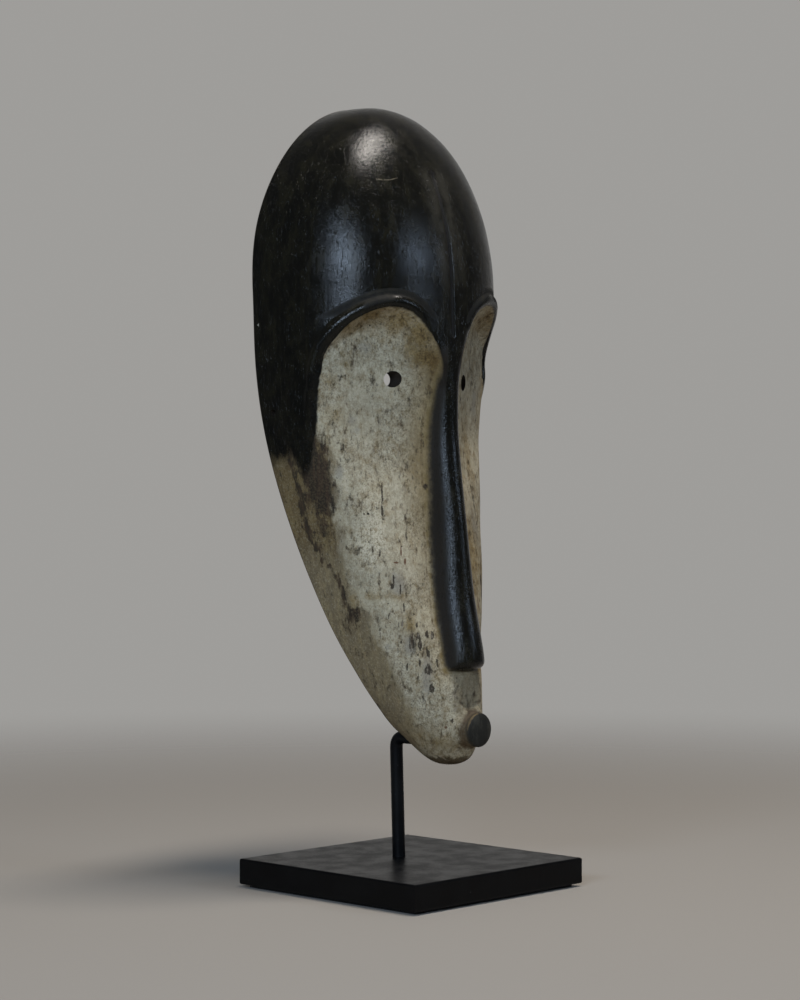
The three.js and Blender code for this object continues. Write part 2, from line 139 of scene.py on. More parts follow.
def along(knots):  # a smooth curve through (height, value) knots, level past both ends
    z, v = np.array(knots, float).T
    step = np.diff(z)
    chord = np.diff(v) / step
    tangent = np.concatenate([chord[:1], v[1:-1], chord[-1:]])
    tangent[1:-1] = (step[1:] * chord[:-1] + step[:-1] * chord[1:]) / (step[1:] + step[:-1])

    def value(height):
        at = np.clip(height, z[0], z[-1])
        i = np.clip(np.searchsorted(z, at, side="right") - 1, 0, len(step) - 1)
        u = (at - z[i]) / step[i]
        rise = v[i] * (1 + 2 * u) * (1 - u) ** 2 + v[i + 1] * u * u * (3 - 2 * u)
        return rise + step[i] * u * (1 - u) * (tangent[i] * (1 - u) - tangent[i + 1] * u)

    return value


halfWidthLow, rimDepth = along(mask["halfWidth"]), along(mask["rim"])
cheekMeet, cheekSlope = along(mask["cheekMeet"]), along(mask["cheekSlope"])
cheekFront, cheekSide = along(mask["cheekFront"]), along(mask["cheekSide"])
domeSide = along(mask["domeSide"])
noseHalf, noseCrest = along(nose["half"]), along(nose["crest"])
hollowFront, hollowSlope = along(hollow["front"]), along(hollow["slope"])
tieY = float(rimDepth(hollow["tieZ"])) - hollow["tieInset"]


def sectionCurve(t, half, rim, front, slope, frontFull, sideFull):
    u = 1 - t
    x1 = frontFull * half
    y1 = front + slope * x1
    y2 = rim - sideFull * (rim - front)
    x = 3 * t * u * u * x1 + 3 * t * t * u * half + t**3 * half
    y = u**3 * front + 3 * t * u * u * y1 + 3 * t * t * u * y2 + t**3 * rim
    return x, y


def sectionsAt(height):  # all that the sections at these heights need
    height = np.asarray(height, float).reshape(-1, 1)
    rise = clamp01((height - mask["domeZ"]) / (mask["crownZ"] - mask["domeZ"]))
    domed = mask["domeHalfWidth"] * (1 - rise ** mask["domeWidthPower"]) ** (1 / mask["domeWidthPower"])
    crest = mask["browCrestY"] - mask["bridgeLift"] * clamp01(
        (mask["domeZ"] - height) / (mask["domeZ"] - mask["bridgeZ"]))
    back = (1 - rise ** mask["domeFrontPower"]) ** (1 / mask["domeFrontPower"])
    leaning = clamp01((mask["chinLeanTop"] - height) / (mask["chinLeanTop"] - mask["chinZ"]))
    return {
        "height": height,
        "half": np.where(height > mask["domeZ"], domed, halfWidthLow(height)),
        "rim": rimDepth(height) - mask["roundRim"],
        "front": mask["crownFrontY"] - (mask["crownFrontY"] - crest) * back,
        "frontFull": mix(mask["domeFrontFull"], mask["crownFrontFull"], rise**3),
        "lean": mask["chinLean"] * leaning**1.5,
    }


def domeCurve(s, t):
    return sectionCurve(t, s["half"], s["rim"], s["front"], 0.0, s["frontFull"], domeSide(s["height"]))


def cheekCurve(s, t):
    h = s["height"]
    return sectionCurve(t, s["half"], s["rim"], cheekMeet(h), cheekSlope(h), cheekFront(h), cheekSide(h))


def eyeReach(x, z, side):  # how far out from the eye field's middle, 1 at its outline, and how much sideways
    middle = eyeField["z"][side]
    across = x - eyeField["x"]
    drop = np.maximum(0, middle + eyeField["innerFlareTop"] - z)
    soft = eyeField["innerFlareSoft"]
    flare = eyeField["innerFlare"] * np.where(drop < soft, drop**2 / (2 * soft), drop - soft / 2)
    taper = eyeField["taper"] * np.maximum(0, middle - z)
    reach = np.where(across < 0, -across / (eyeField["half"] + flare), across / (eyeField["half"] - taper))
    radial = np.maximum(1e-6, np.hypot(reach, np.maximum(0, z - middle) / eyeField["rise"]))
    return radial, smooth(np.where(across > 0, reach, 0) / radial)


def cheekShare(x, z, side):  # 0 outside the eye field's outline, rising inside it to 1
    radial, outer = eyeReach(x, z, side)
    fade = smooth((z - eyeField["fadeLowZ"]) / eyeField["fadeSpan"])
    slope = mix(eyeField["slopeReach"], eyeField["sideReach"], outer)
    return 1 - (1 - clamp01((1 - fade * radial) / slope)) ** eyeField["slopePower"]


def formPoint(s, t, side):
    xDome, yDome = domeCurve(s, t)
    xCheek, yCheek = cheekCurve(s, t)
    share = cheekShare(xDome, s["height"], side)
    y = mix(yDome, yCheek, share)
    return mix(xDome, xCheek, share), y, s["height"] - s["lean"] * (s["rim"] - y)


def whereWide(curve, s, x):  # the curve's parameter where it is x wide, by halving
    low = np.zeros(np.broadcast(s["height"], x).shape)
    high = np.ones_like(low)
    for halving in range(mask["halvings"]):
        middle = (low + high) / 2
        under = curve(middle)[0] < x
        low, high = np.where(under, middle, low), np.where(under, high, middle)
    return (low + high) / 2


def parameterAt(s, x, side):
    return whereWide(lambda t: formPoint(s, t, side), s, x)


def scooped(x, y, z):  # the flat between nose and mouth
    lowEdge = mouth["flatLowZ"] + mouth["flatSideRise"] * smooth(x / mouth["flatHalf"]) ** 2
    topEdge = nose["tipZ"] + mouth["flatPastTip"]
    share = smooth((z - lowEdge) / mouth["flatFadeLow"]) * smooth((topEdge - z) / mouth["flatFadeTop"])
    return mix(y, np.maximum(y, mouth["flatY"]), share)


def noseWidth(s):
    return np.minimum(noseHalf(s["height"]), nose["mostShare"] * s["half"])


def nosePoint(s, angle, side):
    half = noseWidth(s)
    x = half * np.sin(angle)
    foot = formPoint(s, parameterAt(s, half, side), side)[1]
    y, z = formPoint(s, parameterAt(s, x, side), side)[1:]
    aside = np.maximum(0, nose["tipCornerWidth"] - (half - x))
    below = np.maximum(0, nose["tipCorner"] - (z - nose["tipZ"]))
    inside = clamp01((nose["tipCorner"] - np.hypot(aside, below)) / nose["tipRound"])
    share = np.sqrt(1 - (1 - inside) ** 2) * smooth((nose["rootZ"] - z) / nose["rootBlend"])
    ridge = mix(foot, noseCrest(z), np.cos(angle))
    return x, mix(scooped(x, y, z), ridge, share), z


def rowHeights():
    tipLow = nose["tipZ"] - 0.3
    tipTop = nose["tipZ"] + nose["tipRowsSpan"]
    chin = mix(mask["chinZ"], tipLow, np.linspace(0, 1, mask["rowsChin"], endpoint=False) ** mask["rowPower"])
    tip = mix(tipLow, tipTop, np.linspace(0, 1, mask["rowsTip"], endpoint=False) ** mask["rowPower"])
    cheek = np.linspace(tipTop, mask["browLowZ"], mask["rowsCheek"], endpoint=False)
    brow = np.linspace(mask["browLowZ"], mask["domeZ"], mask["rowsBrow"], endpoint=False)
    dome = mix(mask["domeZ"], mask["crownZ"], np.sin(np.linspace(0, np.pi / 2, mask["rowsDome"])))
    return np.concatenate([chin, tip, cheek, brow, dome])


def frontGrid(s, side):  # rows from the nose's crest to the rim, as (row, column, xyz)
    angle = np.linspace(0, 1, mask["noseColumns"] + 1)[None, :] ** nose["columnPower"] * (np.pi / 2)
    strip = np.stack(nosePoint(s, angle, side), axis=-1)
    start = parameterAt(s, noseWidth(s), side)
    t = mix(start, 1.0, np.linspace(0, 1, mask["cheekColumns"] + 1)[None, 1:])
    cheek = np.stack(formPoint(s, t, side), axis=-1)
    return np.concatenate([strip, cheek], axis=1)


def gridNormals(grid):
    down = np.gradient(grid, axis=0)
    across = np.gradient(grid, axis=1)
    normal = np.cross(across, down)
    return normal / np.maximum(np.linalg.norm(normal, axis=-1, keepdims=True), 1e-9)


def domeDepth(x, z):
    s = sectionsAt(z)
    t = whereWide(lambda u: domeCurve(s, u), s, np.asarray(x, float).reshape(-1, 1))
    return domeCurve(s, t)[1].ravel()


def beadLine(side):  # the bead's middle line on the dome, with the normal there and how proud it stands
    middle = eyeField["z"][side]
    leg = np.linspace(0, 1, eyeField["beadLegSteps"], endpoint=False)
    legZ = mix(eyeField["endZ"], middle, leg)
    legX = eyeField["x"] + eyeField["half"] + eyeField["beadSideShift"] - eyeField["taper"] * (middle - legZ)
    turn = np.linspace(0, 1, eyeField["beadArchSteps"] + 1)
    angle = np.radians(eyeField["beadInnerAngle"]) * turn
    shift = mix(eyeField["beadSideShift"], eyeField["beadTopShift"], smooth(turn * 3))
    arcX = eyeField["x"] + (eyeField["half"] + shift) * np.cos(angle)
    arcZ = middle + (eyeField["rise"] + eyeField["beadTopShift"]) * np.sin(angle)
    x, z = np.concatenate([legX, arcX]), np.concatenate([legZ, arcZ])
    probe = 0.2
    normal = np.stack([domeDepth(x + probe, z) - domeDepth(x - probe, z), np.full_like(x, -2 * probe),
                       domeDepth(x, z + probe) - domeDepth(x, z - probe)], axis=-1)
    normal /= np.linalg.norm(normal, axis=-1, keepdims=True)
    place = np.arange(len(x))
    legFade, innerFade = eyeField["beadFadeSteps"]
    nearEnd = np.minimum(place / legFade, (len(x) - 1 - place) / innerFade)
    proud = mix(eyeField["beadEndProud"], eyeField["beadProud"], smooth(nearEnd))
    return np.stack([x, domeDepth(x, z), z], axis=-1), normal, proud


def beadLift(points, side):  # how far each point stands out to reach the bead's round back
    line, normal, proud = beadLine(side)
    radius = eyeField["beadDiameter"] / 2
    centre = line + normal * (proud - radius)[:, None]
    flat = points.reshape(-1, 3)
    lift = np.zeros(len(flat))
    way = np.tile([0.0, -1.0, 0.0], (len(flat), 1))
    low, top = eyeField["endZ"] - eyeField["beadBelow"], mask["domeZ"] + eyeField["beadAbove"]
    near = np.flatnonzero((flat[:, 2] > low) & (flat[:, 2] < top))
    gaps = np.linalg.norm(flat[near, None, :] - centre[None, :, :], axis=-1)
    best = gaps.argmin(axis=1)
    out = normal[best]
    offset = flat[near] - centre[best]
    tangent = np.gradient(centre, axis=0)[best]
    tangent /= np.linalg.norm(tangent, axis=-1, keepdims=True)
    offset -= (offset * tangent).sum(-1, keepdims=True) * tangent
    height = (offset * out).sum(-1)
    aside = np.linalg.norm(offset - height[:, None] * out, axis=-1)
    raw = np.sqrt(np.maximum(radius**2 - aside**2, 0)) - height
    raw = raw - eyeField["beadFall"] * np.maximum(0, aside - radius)
    raw = np.where(aside < eyeField["beadReach"] * radius, raw, -9.0)
    soft = eyeField["beadSoft"] ** 2
    lift[near] = (raw + np.sqrt(raw**2 + soft)) / 2 - soft / 40  # a rounded foot
    way[near] = out
    return np.maximum(lift, 0).reshape(points.shape[:2]), way.reshape(points.shape)


# Seeded value noise over space, from -1 to 1
latticeRandom = np.random.RandomState(7).rand(32, 32, 32) * 2 - 1


def spaceNoise(points, size):
    q = points / size
    cell = np.floor(q).astype(int)
    u = q - cell
    u = u * u * (3 - 2 * u)
    total = 0.0
    for corner in range(8):
        bit = np.array([corner & 1, (corner >> 1) & 1, (corner >> 2) & 1])
        share = np.prod(np.where(bit, u, 1 - u), axis=-1)
        i, j, k = np.moveaxis((cell + bit) % 32, -1, 0)
        total = total + share * latticeRandom[i, j, k]
    return total


def softFoot(grid):  # eases the crease where the nose stands on the cheek
    low, high = (mask["noseColumns"] + shift for shift in mask["footColumns"])
    for passing in range(mask["footPasses"]):
        part = grid[:, low - 1:high + 1]
        grid[:, low:high] = part[:, 1:-1] * 0.5 + (part[:, :-2] + part[:, 2:]) * 0.25
    return grid


def swellChin(grid):  # the chin rises to the knob at both sides of it
    x, y, z = np.moveaxis(grid, -1, 0)
    near = smooth((mouth["swellReach"] - np.hypot(x, z - mouth["z"])) / mouth["swellFade"])
    aside = smooth((x - mouth["swellInset"]) / mouth["swellRise"])
    low, top = mouth["swellZ"]
    level = smooth((top - z) / mouth["swellRise"]) * smooth((z - low) / mouth["swellRise"])
    ahead = smooth((mouth["swellFrontY"] - y) / mouth["swellDepth"])
    grid[..., 1] -= mouth["swell"] * near * aside * level * ahead
    return grid


def sideGrid(s, side):
    grid = swellChin(softFoot(frontGrid(s, side)))
    lift, way = beadLift(grid, side)
    return grid + way * lift[..., None]


def maskGrid():
    s = sectionsAt(rowHeights())
    right = sideGrid(s, "right")
    left = sideGrid(s, "left") * [-1, 1, 1]
    front = np.concatenate([left[:, :0:-1], right], axis=1)
    middle = left.shape[1] - 1
    above, below = s["height"].ravel() - groove["lowZ"], groove["topZ"] - s["height"].ravel()
    cut = groove["depth"] * smooth(above / groove["lowFade"]) * smooth(below / groove["topFade"])
    front[:, middle, 1] += cut
    for beside in (middle - 1, middle + 1):
        front[:, beside, 1] += groove["besideShare"] * cut
    normal = gridNormals(front)
    tooling = sum(depth * spaceNoise(front + shift, np.array(size)) for depth, shift, size in mask["tooling"])
    edgeFade = np.minimum(1, s["half"] / mask["toolingFade"]) * np.ones(front.shape[1])
    front = front + normal * (tooling * edgeFade)[..., None]
    front[..., 0] = np.clip(front[..., 0], -mask["domeHalfWidth"], mask["domeHalfWidth"])
    front[[0, -1], :, 0] = 0
    back = backLoop(s)
    return np.concatenate([front, back], axis=1), front.shape[1]


def backLoop(s):  # rounded rim, flat rim, rounded inner edge and hollow, from right to left
    height, half, rim = s["height"], s["half"], s["rim"]
    r = np.minimum(mask["roundRim"], half * 0.45)
    turn = np.linspace(0, np.pi / 2, mask["cornerSteps"])[None, 1:]
    cornerX = half - r * (1 - np.cos(turn))
    cornerY = rim + mask["roundRim"] * np.sin(turn)
    top = mask["crownZ"] - hollow["wall"]
    rise = clamp01((height - mask["domeZ"]) / (top - mask["domeZ"]))
    fall = clamp01((hollow["lowZ"] + hollow["end"] - height) / hollow["end"])
    close = (1 - rise ** mask["domeWidthPower"]) ** (1 / mask["domeWidthPower"]) * np.sqrt(1 - fall**2)
    isOpen = (height > hollow["lowZ"]) & (height < top)
    widest = np.where(height > mask["domeZ"], mask["domeHalfWidth"], half)
    full = np.where(isOpen, np.maximum(0, (widest - hollow["wall"]) * close), 0.0)
    full = np.minimum(full, np.maximum(half - 1.2 * r - hollow["edgeSpare"], 0))
    rimFace = rim + mask["roundRim"]
    deep = mix(rimFace, hollowFront(height), np.sqrt(1 - fall**2))
    crown = mix(rimFace, deep, (1 - rise ** mask["domeFrontPower"]) ** (1 / mask["domeFrontPower"]))
    crown = np.where(isOpen, crown, rimFace)
    inner = np.minimum(hollow["edgeRound"], full * hollow["edgeShare"])
    landX = mix(half - r, full + inner, np.linspace(0, 1, mask["rimColumns"])[None, 1:])
    landY = rimFace * np.ones_like(landX)
    edgeX = full + inner * (1 - np.sin(turn))
    edgeDepth = np.minimum(hollow["edgeRound"], (rimFace - crown) * hollow["edgeShare"])
    edgeY = rimFace - edgeDepth * (1 - np.cos(turn))
    t = np.linspace(1, 0, mask["hollowColumns"] + 1)[None, 1:]
    hollowX, hollowY = sectionCurve(t, full, edgeY[:, -1:], crown, hollowSlope(height),
                                    hollow["frontFull"], hollow["sideFull"])
    x = np.concatenate([cornerX, landX, edgeX, hollowX], axis=1)
    y = np.concatenate([cornerY, landY, edgeY, hollowY], axis=1)
    isLeaning = np.arange(x.shape[1]) < cornerX.shape[1] + landX.shape[1]
    z = height - np.where(isLeaning, s["lean"] * (rimFace - y), 0)
    right = np.stack([x, y, z], axis=-1)
    return np.concatenate([right, (right * [-1, 1, 1])[:, -2::-1]], axis=1)


def meshFromGrid(name, grid, frontColumns):
    rows, columns = grid.shape[:2]
    index = np.arange(rows * columns).reshape(rows, columns)
    a, b = index[:-1], np.roll(index, -1, axis=1)[:-1]
    quads = np.stack([a, b, b + columns, a + columns], axis=-1).reshape(-1, 4)
    mesh = bpy.data.meshes.new(name)
    mesh.from_pydata((grid.reshape(-1, 3) * mm).tolist(), [], quads.tolist())
    isBack = np.tile(np.arange(columns) >= frontColumns - 1, rows - 1)
    mesh.polygons.foreach_set("material_index", isBack.astype(np.int32))
    work = bmesh.new()
    work.from_mesh(mesh)
    bmesh.ops.remove_doubles(work, verts=work.verts, dist=mask["mergeReach"])
    bmesh.ops.dissolve_degenerate(work, edges=work.edges, dist=1e-6)
    bmesh.ops.triangulate(work, faces=work.faces)
    work.to_mesh(mesh)
    loose = sum(1 for e in work.edges if len(e.link_faces) != 2)
    print(name, "faces", len(work.faces), "open edges", loose, "cubic centimetres", work.calc_volume() * 1e6)
    work.free()
    return mesh


def revolve(name, profile, sides, wobble, material):  # (radius, y) profile turned about the Y axis
    work = bmesh.new()
    rings = []
    for radius, y in profile:
        if radius == 0:
            rings.append([work.verts.new((0, y, 0))])
            continue
        ring = []
        for i in range(sides):
            angle = 2 * math.pi * i / sides
            r = radius * (1 + wobble * (math.sin(2 * angle + 0.7) + 0.6 * math.sin(5 * angle)))
            ring.append(work.verts.new((r * math.cos(angle), y, r * math.sin(angle))))
        rings.append(ring)
    for near, far in zip(rings[:-1], rings[1:]):
        for i in range(sides):
            j = (i + 1) % sides
            corners = [near[i % len(near)], near[j % len(near)], far[j % len(far)], far[i % len(far)]]
            face = work.faces.new(list(dict.fromkeys(corners)))
            face.material_index = material
    bmesh.ops.recalc_face_normals(work, faces=work.faces)
    bmesh.ops.triangulate(work, faces=work.faces)
    mesh = bpy.data.meshes.new(name)
    work.to_mesh(mesh)
    work.free()
    return mesh


def toolBody(name, mesh, turn, place):  # a boolean partner, in millimetres until here
    mesh.transform(Matrix.Scale(mm, 4) @ Matrix.Translation(Vector(place)) @ turn)
    body = bpy.data.objects.new(name, mesh)
    scene.collection.objects.link(body)
    return body


def knobMesh():
    front, back = mouth["frontY"], mouth["frontY"] + mouth["length"]
    r, edge, dome = mouth["radius"], mouth["edgeRound"], mouth["dome"]
    profile = [(0, back), (r, back)]
    for step in range(9):
        angle = math.radians(mouth["knobEdgeTurn"]) * step / 8
        profile.append((r - edge * (1 - math.cos(angle)), front + dome + edge - edge * math.sin(angle)))
    profile += [(r * share, front + dome * share**2) for share in mouth["knobFace"]]
    return revolve("knob", profile, mouth["knobSides"], mouth["knobWobble"], 0)


def drillMesh(name, diameter, span, sides):
    r = diameter / 2
    low, high = span
    return revolve(name, [(0, low), (r, low), (r, high), (0, high)], sides, 0.0, 1)


def toPlainMesh(body):  # modifiers applied, and gone
    made = bpy.data.meshes.new_from_object(body.evaluated_get(bpy.context.evaluated_depsgraph_get()))
    body.modifiers.clear()
    body.data = made
    made.name = body.name


def cutAndJoin(body):
    aside = Matrix.Rotation(math.pi / 2, 4, "Z")
    ahead = Matrix.Identity(4)
    tools = [toolBody("knobTool", knobMesh(), ahead, (0, 0, mouth["z"]))]
    for sign in (-1, 1):
        eye = drillMesh("eye", eyeField["eyeDiameter"], eyeField["eyeDrill"], eyeField["eyeSides"])
        tools.append(toolBody("eyeTool", eye, ahead, (sign * eyeField["eyeX"], 0, eyeField["eyeZ"])))
        tie = drillMesh("tie", hollow["tieDiameter"], hollow["tieDrill"], hollow["tieSides"])
        tools.append(toolBody("tieTool", tie, aside, (sign * mask["domeHalfWidth"], tieY, hollow["tieZ"])))
    socketSpan = (rod["tipY"] - rod["gap"], rod["socketEndY"])
    socket = drillMesh("socket", rod["diameter"] + 2 * rod["gap"], socketSpan, rod["sides"])
    tools.append(toolBody("socketTool", socket, ahead, (0, 0, rod["legZ"])))
    for tool in tools:
        change = body.modifiers.new(tool.name, "BOOLEAN")
        change.operation = "UNION" if tool is tools[0] else "DIFFERENCE"
        change.solver = "MANIFOLD"
        change.object = tool
    toPlainMesh(body)
    for tool in tools:
        bpy.data.objects.remove(tool)


# The stand's rod, swept along its path by geometry nodes
rod = {
    "diameter": 8.0, "gap": 0.3, "footY": 10.4, "topY": 12.6, "bendRadius": 7.0,
    "legZ": 92.5, "tipY": -30.0, "socketEndY": 30.0, "seatDepth": 8.0, "baseTopZ": 18.0,
    "sides": 40, "steps": (20, 20, 12), "sharpAngle": 40.0,
}


def rodPath():
    r = rod
    bendLow = Vector((0, r["topY"], r["legZ"] - r["bendRadius"]))
    corner = Vector((0, r["topY"], r["legZ"]))
    bendEnd = Vector((0, r["topY"] - r["bendRadius"], r["legZ"]))
    rise = (r["topY"] - r["footY"]) / (bendLow.z - r["baseTopZ"])
    foot = Vector((0, r["footY"] - rise * r["seatDepth"], r["baseTopZ"] - r["seatDepth"]))
    tip = Vector((0, r["tipY"], r["legZ"]))
    riseSteps, bendSteps, tipSteps = r["steps"]
    points = [foot.lerp(bendLow, i / riseSteps) for i in range(riseSteps)]
    for i in range(bendSteps + 1):
        t = i / bendSteps
        points.append(bendLow * (1 - t) ** 2 + corner * 2 * t * (1 - t) + bendEnd * t * t)
    points += [bendEnd.lerp(tip, i / tipSteps) for i in range(1, tipSteps + 1)]
    return [p * mm for p in points]


def sweepTree():
    tree = bpy.data.node_groups.new("rodSweep", "GeometryNodeTree")
    inputs = (("Path", "Geometry"), ("Diameter", "Float"), ("Sides", "Int"), ("Finish", "Material"))
    for label, kind in inputs:
        tree.interface.new_socket(label, in_out="INPUT", socket_type="NodeSocket" + kind)
    tree.interface.new_socket("Rod", in_out="OUTPUT", socket_type="NodeSocketGeometry")
    start, end = tree.nodes.new("NodeGroupInput"), tree.nodes.new("NodeGroupOutput")
    asCurve = tree.nodes.new("GeometryNodeMeshToCurve")
    circle = tree.nodes.new("GeometryNodeCurvePrimitiveCircle")
    half = tree.nodes.new("ShaderNodeMath")
    half.operation = "MULTIPLY"
    half.inputs[1].default_value = 0.5
    sweep = tree.nodes.new("GeometryNodeCurveToMesh")
    sweep.inputs["Fill Caps"].default_value = True
    real = tree.nodes.new("GeometryNodeRealizeInstances")
    finish = tree.nodes.new("GeometryNodeSetMaterial")
    for a, b in [
        (start.outputs["Path"], asCurve.inputs["Mesh"]),
        (start.outputs["Diameter"], half.inputs[0]),
        (start.outputs["Sides"], circle.inputs["Resolution"]),
        (half.outputs[0], circle.inputs["Radius"]),
        (asCurve.outputs["Curve"], sweep.inputs["Curve"]),
        (circle.outputs["Curve"], sweep.inputs["Profile Curve"]),
        (sweep.outputs["Mesh"], real.inputs["Geometry"]),
        (real.outputs["Geometry"], finish.inputs["Geometry"]),
        (start.outputs["Finish"], finish.inputs["Material"]),
        (finish.outputs["Geometry"], end.inputs["Rod"]),
    ]:
        tree.links.new(a, b)
    return tree


def makeRod(finish):
    path = bpy.data.meshes.new("rodPath")
    points = rodPath()
    path.from_pydata(points, [(i, i + 1) for i in range(len(points) - 1)], [])
    body = bpy.data.objects.new("rod_steel_bar", path)
    scene.collection.objects.link(body)
    tree = sweepTree()
    sweep = body.modifiers.new("sweep", "NODES")
    sweep.node_group = tree
    given = {"Diameter": rod["diameter"] * mm, "Sides": rod["sides"], "Finish": finish}
    for item in tree.interface.items_tree:
        if item.in_out == "INPUT" and item.name in given:
            sweep[item.identifier] = given[item.name]
    toPlainMesh(body)
    work = bmesh.new()
    work.from_mesh(body.data)
    bmesh.ops.remove_doubles(work, verts=work.verts, dist=1e-6)
    bmesh.ops.recalc_face_normals(work, faces=work.faces)
    work.to_mesh(body.data)
    work.free()
    return body


# Where the paint is worn, and the crease above the mouth where shade is painted, in millimetres. Across runs
# level, square to the line of sight on the photographed side, from -95 at the rim to 35 at the chin, and the
# same mirrored on the other side. Up is the height.
# A spot: across, up, half width, half height, strength
slant = (-0.6944, -0.7196)
wearAndShade = {
    "archAt": 0.975, "noseSpare": 1.1, "archSpare": 2.6, "shoulderTrim": 1.9, "farTrim": 2.6,
    "noseEnd": 136.1, "noseCorner": 5.0, "cornerLowZ": 300.0, "tipHalf": 14.5, "tipLowZ": 128.0,
    "knobEdge": 11.2, "knobBlackY": -55.0, "lipZ": (106, 139), "streakHalf": 3.4, "lowStreakHalf": 2.0,
    "creaseHalf": 1.6,
    "blackEnd": [(-96, 259), (-86, 262), (-80, 264), (-74, 265), (-68, 260), (-62, 254), (-57, 257),
                 (-53, 272)],
    "kaolinEdge": [(93, 4), (108, 0), (125, -6), (139, -12), (150, -18), (158, -22), (171, -28), (180, -36),
                   (190, -37.5), (200, -39), (210, -41), (221, -43), (230, -46), (244, -45.5), (252, -46),
                   (263, -47.5), (270, -51), (277, -57), (288, -75), (300, -99)],
    "streak": [(-72.4, 262.9), (-68.7, 246.2), (-64.7, 230.1), (-63.3, 224), (-57.8, 211.9), (-52.5, 204)],
    "lowStreak": [(-49.3, 199.8), (-44.3, 191.4), (-39.5, 177.5), (-35.9, 169)],
    # The crease from under the nose to the mouth, where a line of shade is painted
    "crease": [(28.1, 127.7), (25.5, 123.5), (29, 118.3), (33.1, 115.2)],
    "scratch": [(-43.5, 433.6), (-37, 433.2), (-29, 435.2)],
    "chips": [(52.8, 346.8, 1, 2, 1), (54.9, 331.6, 0.8, 0.8, 1), (54.3, 339, 0.4, 0.7, 1),
              (56, 322, 0.5, 0.5, 1)],
}
